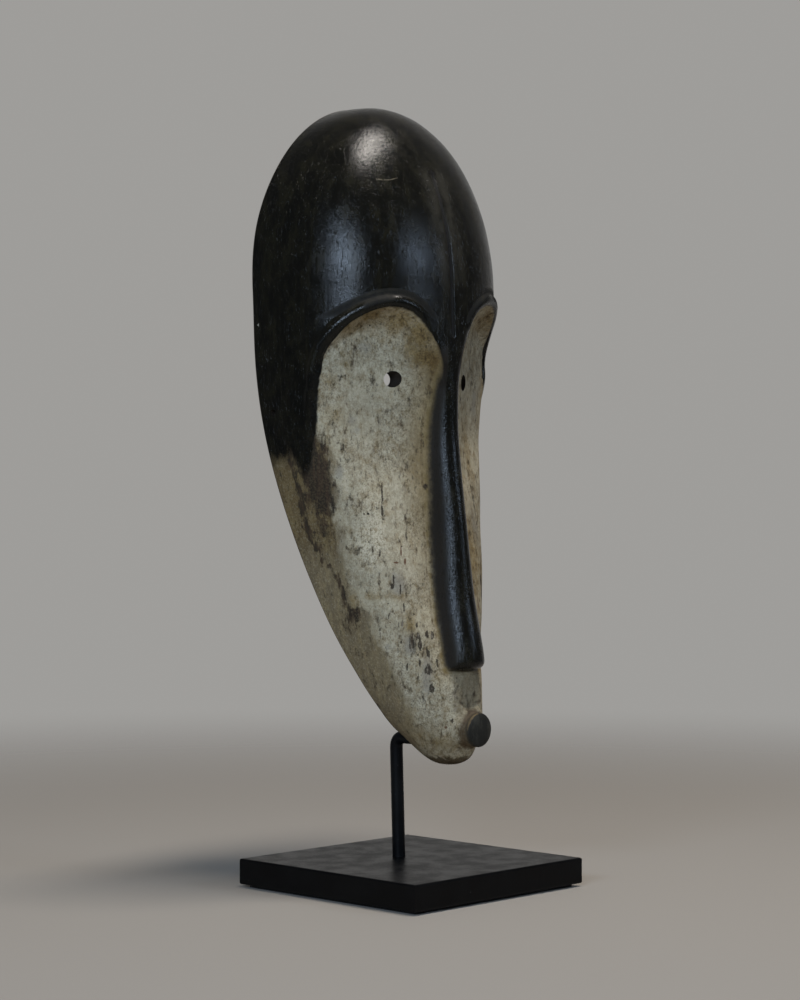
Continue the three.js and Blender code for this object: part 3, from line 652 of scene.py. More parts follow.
shownSpots = {
    "brown": [(-39.7, 344.9, 13.6, 6.8, 0.8), (-23.6, 350.8, 13.6, 6.8, 0.9), (-6.8, 348.4, 12.3, 8, 0.9),
              (5.3, 339.6, 9.6, 11, 1.1), (7.7, 326.5, 8, 8, 1.2), (13.8, 323.5, 5.5, 12, 1),
              (2, 331, 9, 8, 0.9), (-52.5, 269.9, 5.6, 9.9, 0.7), (-52.1, 227.7, 4.9, 13.6, 0.8),
              (-51, 209.5, 4.9, 9.9, 0.7), (-43.1, 188.4, 4.9, 9.9, 0.5), (-37.1, 172, 7.4, 13.6, 0.9),
              (-23.6, 181.5, 6.8, 2.5, 0.6), (-9.2, 181.5, 6.2, 2.5, 0.6), (-0.2, 164.6, 3.7, 8, 0.9),
              (-39.2, 321.6, 2.5, 3.7, 0.6), (-49.4, 311.2, 3.1, 4.3, 0.6), (-53, 299.8, 2.5, 3.7, 0.5),
              (-45.2, 290.3, 6.8, 6.2, 0.6), (-14.1, 131, 7.4, 8.6, 0.5), (-22, 146.1, 4.9, 7.4, 0.6),
              (20.9, 146.3, 2.5, 11.1, 0.9), (-1, 165.5, 4, 7, 1), (2.5, 264, 8, 16, 0.4),
              (15.6, 173.2, 1.9, 12.3, 0.6), (2, 97, 14, 6, 0.6), (17.3, 93, 14.8, 5, 0.6),
              (-31.1, 155, 5.6, 7.4, 0.6)],
    "dark": [(-63.5, 270, 8, 10, 1.2), (-58.6, 259.1, 8, 11, 1.35), (-55.7, 248.2, 7.5, 11, 1.3),
             (-53.5, 271, 4.5, 7, 0.75), (-53.9, 238.6, 6.5, 10, 1), (-52.7, 226, 5, 10, 0.6),
             (-34.4, 170.9, 4.2, 5, 1.1), (-40.1, 179.3, 1.9, 5.6, 0.6), (-44.3, 193.2, 1.9, 5.6, 0.4),
             (8.4, 247.7, 1.6, 1.6, 1), (0.4, 155.6, 1.9, 8.6, 0.5), (30.6, 93.9, 2.5, 4.9, 0.5)],
    "grey": [(-43.2, 256.6, 3.1, 5.6, 0.9), (-35.8, 287.4, 3.7, 4.3, 0.7), (-28.6, 332.1, 5.6, 4.9, 0.6),
             (-33.4, 282, 4.9, 4.9, 0.5), (-36.8, 239.8, 4.9, 4.9, 0.3), (-7.4, 188.7, 4.9, 8.6, 0.9),
             (9.5, 134.5, 3.7, 14.8, 1), (-14, 151.2, 2.5, 1.9, 0.8), (27.2, 114.1, 2.5, 1.9, 0.8),
             (28.8, 131.8, 1.9, 1.9, 0.7), (-1, 153, 5, 8, 0.9), (-9.8, 191, 3.2, 7, 0.9),
             (4.3, 191, 8, 14, 0.35)],
    "pale": [(-23.7, 215.8, 9.9, 24, 1), (-30.9, 179.5, 4.9, 9.9, 0.5), (-39.9, 251.8, 3.7, 12.3, 0.5),
             (-9.8, 239.8, 8.6, 24.7, 0.5), (-0.7, 203.6, 4.9, 18.5, 0.5), (8.2, 119.4, 4.9, 7.4, 0.6),
             (-13, 148, 9, 9, 0.6), (-6.8, 125.1, 6.2, 8.6, 0.5), (20.9, 98.3, 5.6, 7.4, 0.8),
             (-48.9, 296.9, 4.9, 4.9, 0.3), (-36.9, 303, 6.2, 8.6, 0.4)],
    "peel": [(-11.4, 187.5, 0.9, 3, 1), (-10.8, 193, 0.5, 3, 0.7), (-6.4, 186, 0.5, 5, 0.7),
             (-8.4, 192, 0.4, 4, 0.6), (3.2, 165, 0.9, 3.5, 1), (4.3, 158, 1.1, 3, 1),
             (5, 152, 1.4, 4.5, 1), (3.8, 147, 1.2, 2, 1), (-1, 151, 0.6, 5, 0.6), (10.2, 148, 2, 4.5, 1),
             (9.5, 159, 1, 1.5, 1), (12.3, 158.6, 1.2, 2.2, 1), (9.6, 137.5, 2.8, 4, 0.9),
             (5.4, 141, 1.3, 3.5, 0.9), (-2.2, 139, 0.8, 2.5, 0.8), (-6.3, 153, 0.9, 2.5, 0.8),
             (-7.6, 167, 0.6, 4, 0.9), (-5.6, 165, 0.8, 2.5, 1), (-13.6, 170.5, 0.5, 4, 0.8),
             (12.4, 125.5, 2, 4.5, 0.7), (-4.5, 173.6, 0.7, 6, 0.7), (-17.6, 242.8, 0.6, 16, 0.7),
             (-18.8, 209.7, 0.6, 11.1, 0.6), (15.4, 143.4, 0.9, 6.2, 0.7), (17.2, 125.4, 1.2, 3.7, 0.7),
             (24.5, 106.1, 1.2, 2.5, 0.7), (7.7, 97.9, 1.9, 2.5, 0.6)],
    "rust": [(-9.2, 202.2, 2.2, 1, 1), (-6.2, 208.4, 0.6, 4.3, 1), (-3.8, 202.4, 0.9, 3.1, 1),
             (21, 102.8, 1.1, 1, 1), (-14.3, 168.2, 0.7, 0.7, 0.9), (-12.8, 166.4, 0.6, 0.7, 0.9),
             (-15.2, 165.2, 0.5, 0.6, 0.8), (-39.9, 230.8, 3.1, 3.1, 0.5)],
    "pits": [(-25.1, 345.1, 0.8, 0.8, 1), (-26, 231.6, 1, 1, 1), (-32.2, 243.1, 0.6, 0.6, 1),
             (-28.4, 231.4, 0.5, 0.5, 1), (17.3, 111.6, 0.6, 0.6, 1), (-5.6, 212, 0.6, 0.6, 1),
             (-21.8, 221.2, 0.5, 0.5, 1), (-17.1, 227.8, 0.5, 0.9, 1), (1.6, 171.1, 0.6, 0.6, 1),
             (-14.1, 177.3, 0.6, 0.6, 1)],
}
farSpots = {
    "brown": [(-36, 354, 20, 9, 0.6), (-8, 354, 14, 6, 0.3), (9, 336, 9, 12, 0.1), (-50, 305, 8, 20, 0.6),
              (-2, 205, 14, 30, 0.75), (0, 264, 12, 22, 0.45), (-30, 330, 12, 12, 0.3),
              (-48, 215, 7, 30, 0.9), (-30, 168, 9, 16, 0.8), (-20, 270, 5, 30, 0.6),
              (18, 150, 4, 20, 0.8), (-10, 200, 7, 22, 0.6), (5, 270, 5, 26, 0.6), (4, 120, 12, 12, 0.6)],
    "dark": [(-60, 262, 7, 12, 1), (-57, 244, 5, 12, 0.8), (-44, 190, 3, 12, 0.6), (-28, 158, 3, 6, 0.8)],
    "grey": [(-34, 300, 5, 12, 0.8), (-12, 222, 5, 16, 0.8), (6, 160, 4, 16, 0.8), (-30, 240, 5, 10, 0.6)],
    "pale": [(-26, 210, 9, 20, 0.7), (-8, 250, 8, 22, 0.5), (10, 110, 8, 9, 0.6)],
    "peel": [(-10, 186, 3, 9, 0.9), (4, 158, 2, 12, 1), (8, 140, 3, 9, 0.9), (-16, 236, 0.7, 16, 0.8),
             (-30, 205, 2, 6, 0.7), (12, 205, 1, 14, 0.7)],
    "rust": [(-22, 196, 1.5, 2.5, 1), (0, 176, 0.8, 5, 0.9)],
    "pits": [(-30, 338, 0.8, 0.8, 1), (-18, 220, 0.7, 0.7, 1), (2, 240, 0.6, 0.6, 1)],
}


def rounded(a, b, corner):  # distance inside two edges that meet in a rounded corner
    return corner - np.hypot(np.maximum(0, corner - a), np.maximum(0, corner - b))


def softSpots(across, up, places):  # 1 in the middle of a full spot, fading out past its edge
    best = np.zeros(len(across))
    for cx, cz, rx, rz, strength in places:
        best = np.maximum(best, strength * np.exp(-((across - cx) / rx) ** 2 - ((up - cz) / rz) ** 2))
    return best


def firmSpots(across, up, places):  # 1 in the middle of a full spot, 0 at its edge, negative outside
    best = np.full(len(across), -1.0)
    for cx, cz, rx, rz, strength in places:
        best = np.maximum(best, strength - np.hypot((across - cx) / rx, (up - cz) / rz))
    return best


def lineGap(across, up, points):
    best = np.full(len(across), 99.0)
    for (ax, az), (bx, bz) in zip(points[:-1], points[1:]):
        u = clamp01(((across - ax) * (bx - ax) + (up - az) * (bz - az)) / ((bx - ax) ** 2 + (bz - az) ** 2))
        best = np.minimum(best, np.hypot(across - ax - u * (bx - ax), up - az - u * (bz - az)))
    return best


# Where each kind of wear, painted shade and painted sheen starts and where it is full, in millimetres:
# heights, or distances from a feature
spans = {
    "browInner": (43, 25), "browInnerLow": (308, 318), "browInnerTop": (344, 330),
    "shoulder": (52, 66), "shoulderLow": (312, 320), "shoulderTop": (348, 336),
    "farBrow": (43, 31), "farBrowLow": (336, 345),
    "betweenRim": (-31, -26), "betweenNose": (-7, -12),
    "upper": (328, 342), "sooty": (190, 250), "low": (112, 94),
    "grooveSide": (1.7, 1.0), "grooveLow": (338, 340), "grooveTop": (442, 439), "grooveEnd": (1.0, 0.5),
    "dullLow": (346, 352), "dullPast": (10.5, 8.5), "dullBead": (4.8, 6.4), "dullMiddle": (1.5, 3.5),
    "rubbedSheenLow": (358, 388), "rubbedSheenTop": (450, 436), "polish": (395, 445),
    "noseSide": (5, 2), "noseTop": (336, 324), "flank": (-3.2, -1.0),
    "roughTop": (296, 332), "roughLow": (190, 146), "knobFootShade": (13.6, 10.6),
    "eyeBore": (7, 5.5), "tieBore": (4, 2.5), "chinShadeLow": (86, 81), "chinShadeFront": (-5, -15),
}


def within(value, name):  # 0 where the span starts, 1 where it is full
    start, full = spans[name]
    return smooth((value - start) / (full - start))


def paintedArch(x, wide, z):  # how far inside the painted edge of the eye field each point lies
    radial = np.where(x > 0, eyeReach(wide, z, "right")[0], eyeReach(wide, z, "left")[0])
    brow = within(wide, "browInner") * within(z, "browInnerLow") * within(z, "browInnerTop")
    shoulder = within(wide, "shoulder") * within(z, "shoulderLow") * within(z, "shoulderTop")
    farBrow = (x > 0) * within(wide, "farBrow") * within(z, "farBrowLow")
    stray = wearAndShade["archSpare"] * brow - wearAndShade["shoulderTrim"] * shoulder - wearAndShade["farTrim"] * farBrow
    return (wearAndShade["archAt"] - radial) * eyeField["half"] + stray


def paintMask(mesh):  # leaves each kind of wear, painted shade and painted sheen on the mesh as an attribute
    co = np.zeros(len(mesh.vertices) * 3)
    mesh.vertices.foreach_get("co", co)
    x, y, z = co.reshape(-1, 3).T / mm
    wide = np.abs(x)
    across = slant[0] * wide + slant[1] * y
    isShown = x < 0
    fromKnob = np.hypot(x, z - mouth["z"])
    aside = wide - noseHalf(z)
    knob = np.minimum(wearAndShade["knobEdge"] - fromKnob, wearAndShade["knobBlackY"] - y)
    inArch = paintedArch(x, wide, z)
    beside, above, corner = wearAndShade["noseSpare"] - aside, z - wearAndShade["noseEnd"], wearAndShade["noseCorner"]
    tipFace = np.minimum(wearAndShade["tipHalf"] - wide, np.minimum(mouth["flatY"] - 1 - y, z - wearAndShade["tipLowZ"]))
    atCorner = (inArch < corner) & (-beside < corner) & (z > wearAndShade["cornerLowZ"])
    ridge = np.maximum(rounded(beside, above, corner), tipFace)
    ridge = np.where(atCorner, -rounded(inArch, -beside, corner), ridge)
    between = within(across, "betweenRim") * within(across, "betweenNose")
    onNose = within(aside, "noseSide") * within(z, "noseTop") * (y < -20)
    streak = np.minimum(lineGap(across, z, wearAndShade["streak"]) / wearAndShade["streakHalf"],
                        lineGap(across, z, wearAndShade["lowStreak"]) / wearAndShade["lowStreakHalf"])
    grooveLine = within(wide, "grooveSide") * within(z, "grooveLow") * within(z, "grooveTop")
    grooveEnd = within(np.hypot(x / 4, (z - groove["topZ"]) / 1.3), "grooveEnd")
    dullMiddle = np.maximum(within(-inArch, "dullBead"), within(-inArch, "dullMiddle") * between)
    fromEye = np.hypot(wide - eyeField["eyeX"], z - eyeField["eyeZ"])
    fromTie = np.hypot(y - tieY, z - hollow["tieZ"])
    crease = 1 - lineGap(across, z, wearAndShade["crease"]) / wearAndShade["creaseHalf"]
    lipLow, lipTop = wearAndShade["lipZ"]
    scratch = wearAndShade["scratch"]
    onScratch = (x > scratch[0][0]) & (x < scratch[-1][0]) & (y < 20)
    rows = {
        "arch": -inArch,
        "sideEnd": z - along(wearAndShade["blackEnd"])(across),
        "ridge": np.maximum(ridge, knob),
        "knob": knob,
        "noseGap": np.hypot(np.maximum(0, aside), 1.4 * np.maximum(0, nose["tipZ"] - z)),
        "side": along(wearAndShade["kaolinEdge"])(z) - across,
        "streak": 1 - streak,
        "crease": np.where((y < -30) & (wide > 3), crease, -1.0),
        "lip": np.minimum((mouth["flatHalf"] - 1 - wide) * 0.5, np.minimum(z - lipLow, lipTop - z)),
        "low": clamp01((spans["low"][0] - z) / (spans["low"][0] - spans["low"][1])),
        "sooty": within(z, "sooty"),
        # The forehead groove, whose dark tone is painted shade
        "groove": np.maximum(grooveLine, grooveEnd) * (y < 0),
        "dull": within(z, "dullLow") * within(-inArch, "dullPast") * dullMiddle,
        "between": between,
        "upper": within(z, "upper"),
        # The band beside the groove, lighter from rubbed patina and painted sheen
        "rubbedSheen": np.exp(-(wide - 6) ** 2 / 40) * within(z, "rubbedSheenLow") * within(z, "rubbedSheenTop") * (y < 10),
        "onNose": onNose,
        "flank": within(aside, "flank") * onNose,
        "rough": np.maximum(within(z, "roughTop"), within(z, "roughLow")),
        "knobFootShade": within(fromKnob, "knobFootShade") * (y < -38),
        "polish": within(z, "polish"),
        "rimGap": np.abs(rimDepth(z) - y),
        "bore": np.maximum(within(fromEye, "eyeBore"), within(fromTie, "tieBore")),
        "chips": np.where((wide > 76) & isShown, firmSpots(y, z, wearAndShade["chips"]), -1.0),
        "scratch": np.where(onScratch, z - along(scratch)(x), 99.0),
    }
    for name in shownSpots:
        field = softSpots if name in ("brown", "dark", "grey", "pale") else firmSpots
        rows[name] = np.where(isShown, field(across, z, shownSpots[name]), field(across, z, farSpots[name]))
    # The chin's underside is painted darker as shade, on top of the dark stains
    rows["dark"] = np.maximum(rows["dark"], 0.9 * within(z, "chinShadeLow") * within(y, "chinShadeFront"))
    for name, values in rows.items():
        values = np.clip(np.asarray(values, float), -30, 99).astype(np.float32)
        mesh.attributes.new(name, "FLOAT", "POINT").data.foreach_set("value", values)


# Node helpers: each adds to the tree that is being built
building = {"tree": None}


def plug(node, key, value):
    if isinstance(value, bpy.types.NodeSocket):
        building["tree"].links.new(value, node.inputs[key])
    else:
        node.inputs[key].default_value = value


def addNode(kind, inputs=None, **settings):
    made = building["tree"].nodes.new(kind)
    for name, value in settings.items():
        setattr(made, name, value)
    for key, value in (inputs or {}).items():
        plug(made, key, value)
    return made


def calc(operation, a, b=0.0, c=0.0):
    return addNode("ShaderNodeMath", {0: a, 1: b, 2: c}, operation=operation).outputs[0]


def times(a, b):
    return calc("MULTIPLY", a, b)


def scaledSum(a, factor, b):  # a times the factor, plus b
    return calc("MULTIPLY_ADD", a, factor, b)


def largest(first, *others):
    for value in others:
        first = calc("MAXIMUM", first, value)
    return first


def apart(a, b):
    return calc("ABSOLUTE", calc("SUBTRACT", a, b))


def shifted(value, *waved):  # pushed up and down by noises around 0.5, given as noise, amount, noise, amount
    for noiseValue, amount in zip(waved[::2], waved[1::2]):
        value = scaledSum(calc("SUBTRACT", noiseValue, 0.5), amount, value)
    return value


def ramp(value, low, high, start=0.0, end=1.0):
    given = {"Value": value, "From Min": low, "From Max": high, "To Min": start, "To Max": end}
    return addNode("ShaderNodeMapRange", given, interpolation_type="SMOOTHSTEP").outputs["Result"]


def mixed(share, a, b):
    return addNode("ShaderNodeMix", {0: share, 2: a, 3: b}, data_type="FLOAT").outputs[0]


def tint(share, a, b, kind="MIX"):
    made = addNode("ShaderNodeMix", data_type="RGBA", blend_type=kind)
    for key, value in ((0, share), (6, a), (7, b)):
        plug(made, key, (*value, 1) if isinstance(value, tuple) else value)
    return made.outputs[2]


def coated(color, tones, *coats):  # each coat: tone, value, where it starts, where it is full, share, limits
    for tone, value, low, high, share, *limits in coats:
        amount = ramp(value, low, high, 0.0, share)
        for limit in limits:
            amount = times(amount, limit)
        color = tint(amount, color, tones[tone], "MULTIPLY" if tone == "browning" else "MIX")
    return color


def noise(vector, scale, detail=2.0, rough=0.5, twist=0.0):
    given = {"Vector": vector, "Scale": scale, "Detail": detail, "Roughness": rough, "Distortion": twist}
    return addNode("ShaderNodeTexNoise", given).outputs[0]


def stretched(vector, upward, shift=0.0):  # drawn out along the grain, for an upward scale under 1
    given = {"Vector": vector, "Location": (shift, shift, shift), "Scale": (1.0, 1.0, upward)}
    return addNode("ShaderNodeMapping", given).outputs[0]


def layer(name):  # what paintMask left on the mesh under this name
    return addNode("ShaderNodeAttribute", attribute_name=name).outputs["Fac"]


def placed(group, **inputs):
    return addNode("ShaderNodeGroup", inputs, node_tree=group).outputs


def newGroup(name, inputs, outputs):
    tree = bpy.data.node_groups.new(name, "ShaderNodeTree")
    for label in inputs:
        kind = "NodeSocketVector" if label == "Vector" else "NodeSocketFloat"
        tree.interface.new_socket(label, in_out="INPUT", socket_type=kind)
    for label in outputs:
        tree.interface.new_socket(label, in_out="OUTPUT", socket_type="NodeSocketFloat")
    building["tree"] = tree
    return tree, tree.nodes.new("NodeGroupInput").outputs, tree.nodes.new("NodeGroupOutput")


def grainGroup():  # long upright fibres with fine pores
    tree, given, out = newGroup("woodGrain", ["Vector", "Fineness"], ["Fibre", "Pores"])
    scaled = addNode("ShaderNodeVectorMath", {0: given["Vector"], 3: given["Fineness"]}, operation="SCALE")
    scaled = scaled.outputs[0]
    fibre = noise(stretched(scaled, 0.07), 420.0, 4.0, 0.62, 0.15)
    broad = noise(stretched(scaled, 0.12, 3.0), 90.0, 3.0)
    plug(out, "Fibre", scaledSum(broad, 0.4, times(fibre, 0.6)))
    pores = noise(stretched(scaled, 0.16, 7.0), 1100.0, 2.0, 0.6)
    plug(out, "Pores", ramp(pores, 0.6, 0.72))
    return tree


def edgeGroup():  # a signed distance in millimetres becomes a mask with a wandering edge
    inputs = ["Vector", "Distance", "Wander", "Size", "Softness"]
    tree, given, out = newGroup("wanderingEdge", inputs, ["Mask"])
    moved = shifted(given["Distance"], noise(given["Vector"], given["Size"], 4.0, 0.6), given["Wander"])
    plug(out, "Mask", ramp(moved, times(given["Softness"], -1.0), given["Softness"]))
    return tree


def speckGroup():  # small dots, thinned by Amount from 0 to 1
    tree, given, out = newGroup("specks", ["Vector", "Size", "Amount"], ["Mask"])
    dots = noise(given["Vector"], given["Size"], 1.5, 0.6)
    limit = scaledSum(given["Amount"], -0.4, 0.78)
    plug(out, "Mask", ramp(dots, limit, calc("ADD", limit, 0.07)))
    return tree


def satinGroup():  # what makes satin paint uneven: slow clouds, brush grain and specks of dust
    tree, given, out = newGroup("satinUneven", ["Vector"], ["Clouds", "Grain", "Sheen", "Dust"])
    cloud = noise(given["Vector"], 60.0, 3.0)
    fine = noise(given["Vector"], 900.0, 3.0, 0.65)
    plug(out, "Clouds", ramp(cloud, 0.35, 0.65, 0.0, 0.5))
    plug(out, "Grain", fine)
    plug(out, "Sheen", ramp(scaledSum(fine, 0.35, times(cloud, 0.65)), 0.35, 0.65))
    plug(out, "Dust", times(placed(specks, Vector=given["Vector"], Size=520.0, Amount=0.16)[0], 0.25))
    return tree


grain, edges, specks = grainGroup(), edgeGroup(), speckGroup()
satin = satinGroup()


def newMaterial(name):
    made = bpy.data.materials.new(name)
    made.use_nodes = True
    building["tree"] = made.node_tree
    return made, made.node_tree.nodes["Principled BSDF"], addNode("ShaderNodeTexCoord").outputs["Object"]


def finishShader(shader, color, rough, height, depth, specular):
    plug(shader, "Base Color", color)
    plug(shader, "Roughness", rough)
    bump = addNode("ShaderNodeBump", {"Strength": 1.0, "Distance": depth, "Height": height})
    plug(shader, "Normal", bump.outputs[0])
    plug(shader, "Specular IOR Level", specular)


kaolin = {
    "cream": (0.5, 0.44, 0.305), "grey": (0.37, 0.325, 0.225), "white": (0.68, 0.615, 0.455),
    "grain": (0.19, 0.135, 0.06), "slate": (0.28, 0.26, 0.215), "ochre": (0.28, 0.2, 0.09),
    "brown": (0.155, 0.108, 0.048), "browning": (0.54, 0.44, 0.27), "dark": (0.03, 0.022, 0.014),
    "strip": (0.2, 0.145, 0.06), "side": (0.26, 0.19, 0.08), "sideBrown": (0.1, 0.064, 0.025),
    "bare": (0.23, 0.195, 0.145), "umber": (0.055, 0.034, 0.02), "lip": (0.19, 0.155, 0.095),
    "rust": (0.12, 0.05, 0.025), "pit": (0.006, 0.005, 0.004),
    "rough": 0.78, "depth": 0.0006, "specular": 0.25,
}
patina = {
    "black": (0.0052, 0.0049, 0.0036), "olive": (0.0135, 0.012, 0.0065), "worn": (0.034, 0.03, 0.02),
    # Inside the forehead groove a dark tone of painted shade; beside it a lighter band of rubbed patina and
    # painted sheen
    "rubbedSheen": (0.036, 0.033, 0.025), "flank": (0.014, 0.0095, 0.005), "groove": (0.006, 0.005, 0.004),
    "knob": (0.019, 0.018, 0.014), "knobPale": (0.045, 0.042, 0.032), "knobRim": (0.155, 0.108, 0.048),
    "chip": (0.36, 0.33, 0.26), "scratch": (0.13, 0.11, 0.075),
    "rough": (0.11, 0.27), "polish": 0.01, "knobRough": 0.6, "haloRough": 1.2, "grooveRough": 0.5,
    "dullRough": 0.7, "noseRough": 0.03, "flankRough": 0.4,
}
# The mask's noises: upward scale, shift, size per metre, detail, roughness
waves = {
    "blotch": (0.8, 2.0, 190.0, 5.0, 0.72), "streak": (0.14, 5.0, 330.0, 4.0, 0.6),
    "crumbs": (1.0, 0.0, 760.0, 3.0, 0.7), "mottle": (0.55, 1.0, 120.0, 5.0, 0.65),
    "clouds": (1.0, 0.0, 38.0, 3.0, 0.55), "grit": (0.7, 6.0, 1250.0, 2.0, 0.6),
    "flecks": (0.85, 11.0, 330.0, 4.0, 0.78), "calm": (0.8, 12.0, 48.0, 2.0, 0.5),
    "torn": (0.4, 9.0, 300.0, 4.0, 0.65), "sideFibre": (0.3, 8.0, 150.0, 5.0, 0.7),
}


def waved(at, name):
    upward, shift, size, detail, rough = waves[name]
    return noise(stretched(at, upward, shift), size, detail, rough)


def kaolinColor(at, n):
    flecks, blotch, streak, crumbs = waved(at, "flecks"), n["blotch"], n["streak"], n["crumbs"]
    calm = largest(ramp(waved(at, "calm"), 0.36, 0.62, 1.0, 0.22), times(layer("rough"), 0.95))
    gap = layer("noseGap")
    nearLine = apart(shifted(gap, streak, 3.0), 4.0)
    return coated(
        kaolin["grey"], kaolin,
        ("cream", waved(at, "clouds"), 0.36, 0.66, 1.0),
        ("white", shifted(layer("pale"), blotch, 1.6), 0.1, 0.9, 0.8),
        ("ochre", blotch, 0.49, 0.66, 0.55),
        ("brown", streak, 0.54, 0.72, 0.35),
        ("grain", flecks, 0.5, 0.36, 0.62, calm),
        ("white", flecks, 0.5, 0.64, 0.42),
        ("grain", crumbs, 0.49, 0.34, 0.55, calm),
        ("white", crumbs, 0.51, 0.64, 0.42),
        ("dark", waved(at, "grit"), 0.46, 0.34, 0.5, calm),
        ("slate", shifted(layer("grey"), crumbs, 1.4), 0.2, 0.8, 0.6),
        ("browning", shifted(layer("brown"), blotch, 1.3, crumbs, 1.8), -0.1, 1.1, 1.0),
        ("browning", shifted(gap, blotch, 16.0), 20.0, 1.0, 0.8, scaledSum(layer("sooty"), 0.6, 0.4)),
        ("strip", shifted(gap, streak, 4.0), 3.6, 2.0, 1.0, ramp(blotch, 0.4, 0.58, 0.3, 0.9)),
        ("sideBrown", nearLine, 0.9, 0.3, 1.0, ramp(blotch, 0.42, 0.6, 0.15, 0.7)))


def bareSideColor(at, n):
    sooty = layer("sooty")
    color = coated(
        kaolin["side"], kaolin,
        ("brown", n["fibre"], 0.38, 0.62, 1.0),
        ("sideBrown", waved(at, "sideFibre"), 0.42, 0.62, 0.85),
        ("ochre", n["blotch"], 0.5, 0.66, 0.5),
        ("sideBrown", n["crumbs"], 0.5, 0.35, 0.75),
        ("grey", n["crumbs"], 0.53, 0.66, 0.5),
        ("grey", sooty, 0.5, 0.0, 0.22))
    return tint(times(sooty, 0.45), color, kaolin["sideBrown"])


def damagedAndShaded(color, at, n):  # flakes, rust, stains, pinholes, browner towards the bottom, and painted shade in the crease above the mouth, under the chin and at the knob's foot, with how deep each cuts
    blotch, streak, crumbs, torn = n["blotch"], n["streak"], n["crumbs"], waved(at, "torn")
    peelDepth = shifted(layer("peel"), torn, 5.0)
    peeled = ramp(peelDepth, 0.2, 0.34)
    bareShare = shifted(times(peelDepth, 0.4), crumbs, 2.0, streak, 3.6)
    bareTone = coated(kaolin["dark"], kaolin, ("bare", bareShare, 0.3, 1.0, 1.0))
    color = tint(times(peeled, 0.9), color, bareTone)
    flakes = placed(specks, Vector=stretched(at, 0.5, 4.0), Size=430.0, Amount=0.3)[0]
    color = tint(times(flakes, 0.55), color, kaolin["dark"])
    color = coated(color, kaolin, ("rust", shifted(layer("rust"), blotch, 1.6), 0.05, 0.25, 0.9))
    darkAt = times(ramp(shifted(layer("dark"), blotch, 1.6, torn, 2.2), 0.05, 0.65),
                   ramp(crumbs, 0.42, 0.6, 1.0, 0.78))
    streakAt = times(ramp(shifted(layer("streak"), blotch, 2.8, torn, 3.4), 0.1, 0.7, 0.0, 0.9),
                     ramp(torn, 0.36, 0.52, 0.35, 1.0))
    # Painted shade along the crease above the mouth, in the same dark tone as the stains
    creaseShadeAt = ramp(shifted(layer("crease"), blotch, 1.2), 0.1, 0.9, 0.0, 0.7)
    stainAndShade = coated(kaolin["dark"], kaolin, ("umber", streak, 0.42, 0.62, 1.0))
    color = tint(largest(darkAt, streakAt, creaseShadeAt), color, stainAndShade)
    # Painted shade darkens the chin around the knob's foot
    color = coated(color, kaolin, ("umber", shifted(layer("knobFootShade"), blotch, 1.4), 0.1, 0.9, 0.8))
    pit = ramp(layer("pits"), 0.0, 0.35)
    color = tint(pit, color, kaolin["pit"])
    return tint(times(layer("low"), 0.35), color, kaolin["brown"]), peeled, pit


def blackColor(n, halo):
    mottle, crumbs, knob = n["mottle"], n["crumbs"], layer("knob")
    color = coated(
        patina["black"], patina,
        ("olive", mottle, 0.42, 0.72, 1.0),
        ("olive", n["fibre"], 0.5, 0.66, 0.6),
        ("worn", crumbs, 0.62, 0.76, 0.35))
    color = coated(
        tint(halo, color, patina["worn"]), patina,
        ("knob", knob, -0.4, 0.4, 0.8),
        ("knobPale", knob, 1.0, 2.4, 1.0, ramp(mottle, 0.44, 0.62, 0.0, 0.7)),
        ("knobRim", apart(knob, 1.0), 0.5, 0.15, 1.0, ramp(mottle, 0.48, 0.58, 0.0, 0.7)),
        ("chip", shifted(layer("chips"), crumbs, 2.0), 0.1, 0.3, 1.0),
        ("scratch", apart(layer("scratch"), 0.0), 0.5, 0.2, 1.0, ramp(crumbs, 0.4, 0.54)))
    # A lighter band beside the forehead groove, from rubbed patina and painted sheen; the groove's own dark
    # tone is painted shade
    rubbedSheen = times(layer("rubbedSheen"), ramp(mottle, 0.34, 0.6, 0.35, 0.9))
    for share, tone in ((rubbedSheen, "rubbedSheen"), (times(layer("groove"), 0.95), "groove"),
                        (times(layer("flank"), 0.75), "flank")):
        color = tint(share, color, patina[tone])
    return color


def patinaGloss(n, halo):
    uneven = scaledSum(n["mottle"], 0.45, times(n["crumbs"], 0.55))
    gloss = scaledSum(layer("polish"), -patina["polish"], ramp(uneven, 0.4, 0.6, *patina["rough"]))
    for share, name in ((ramp(layer("knob"), -0.4, 0.4), "knobRough"), (halo, "haloRough"),
                        (layer("groove"), "grooveRough"), (layer("dull"), "dullRough")):
        gloss = largest(gloss, times(share, patina[name]))
    gloss = scaledSum(layer("onNose"), patina["noseRough"], gloss)
    return scaledSum(layer("flank"), patina["flankRough"], gloss)


def edged(at, distance, wander, size, softness):
    return placed(edges, Vector=at, Distance=distance, Wander=wander, Size=size, Softness=softness)[0]


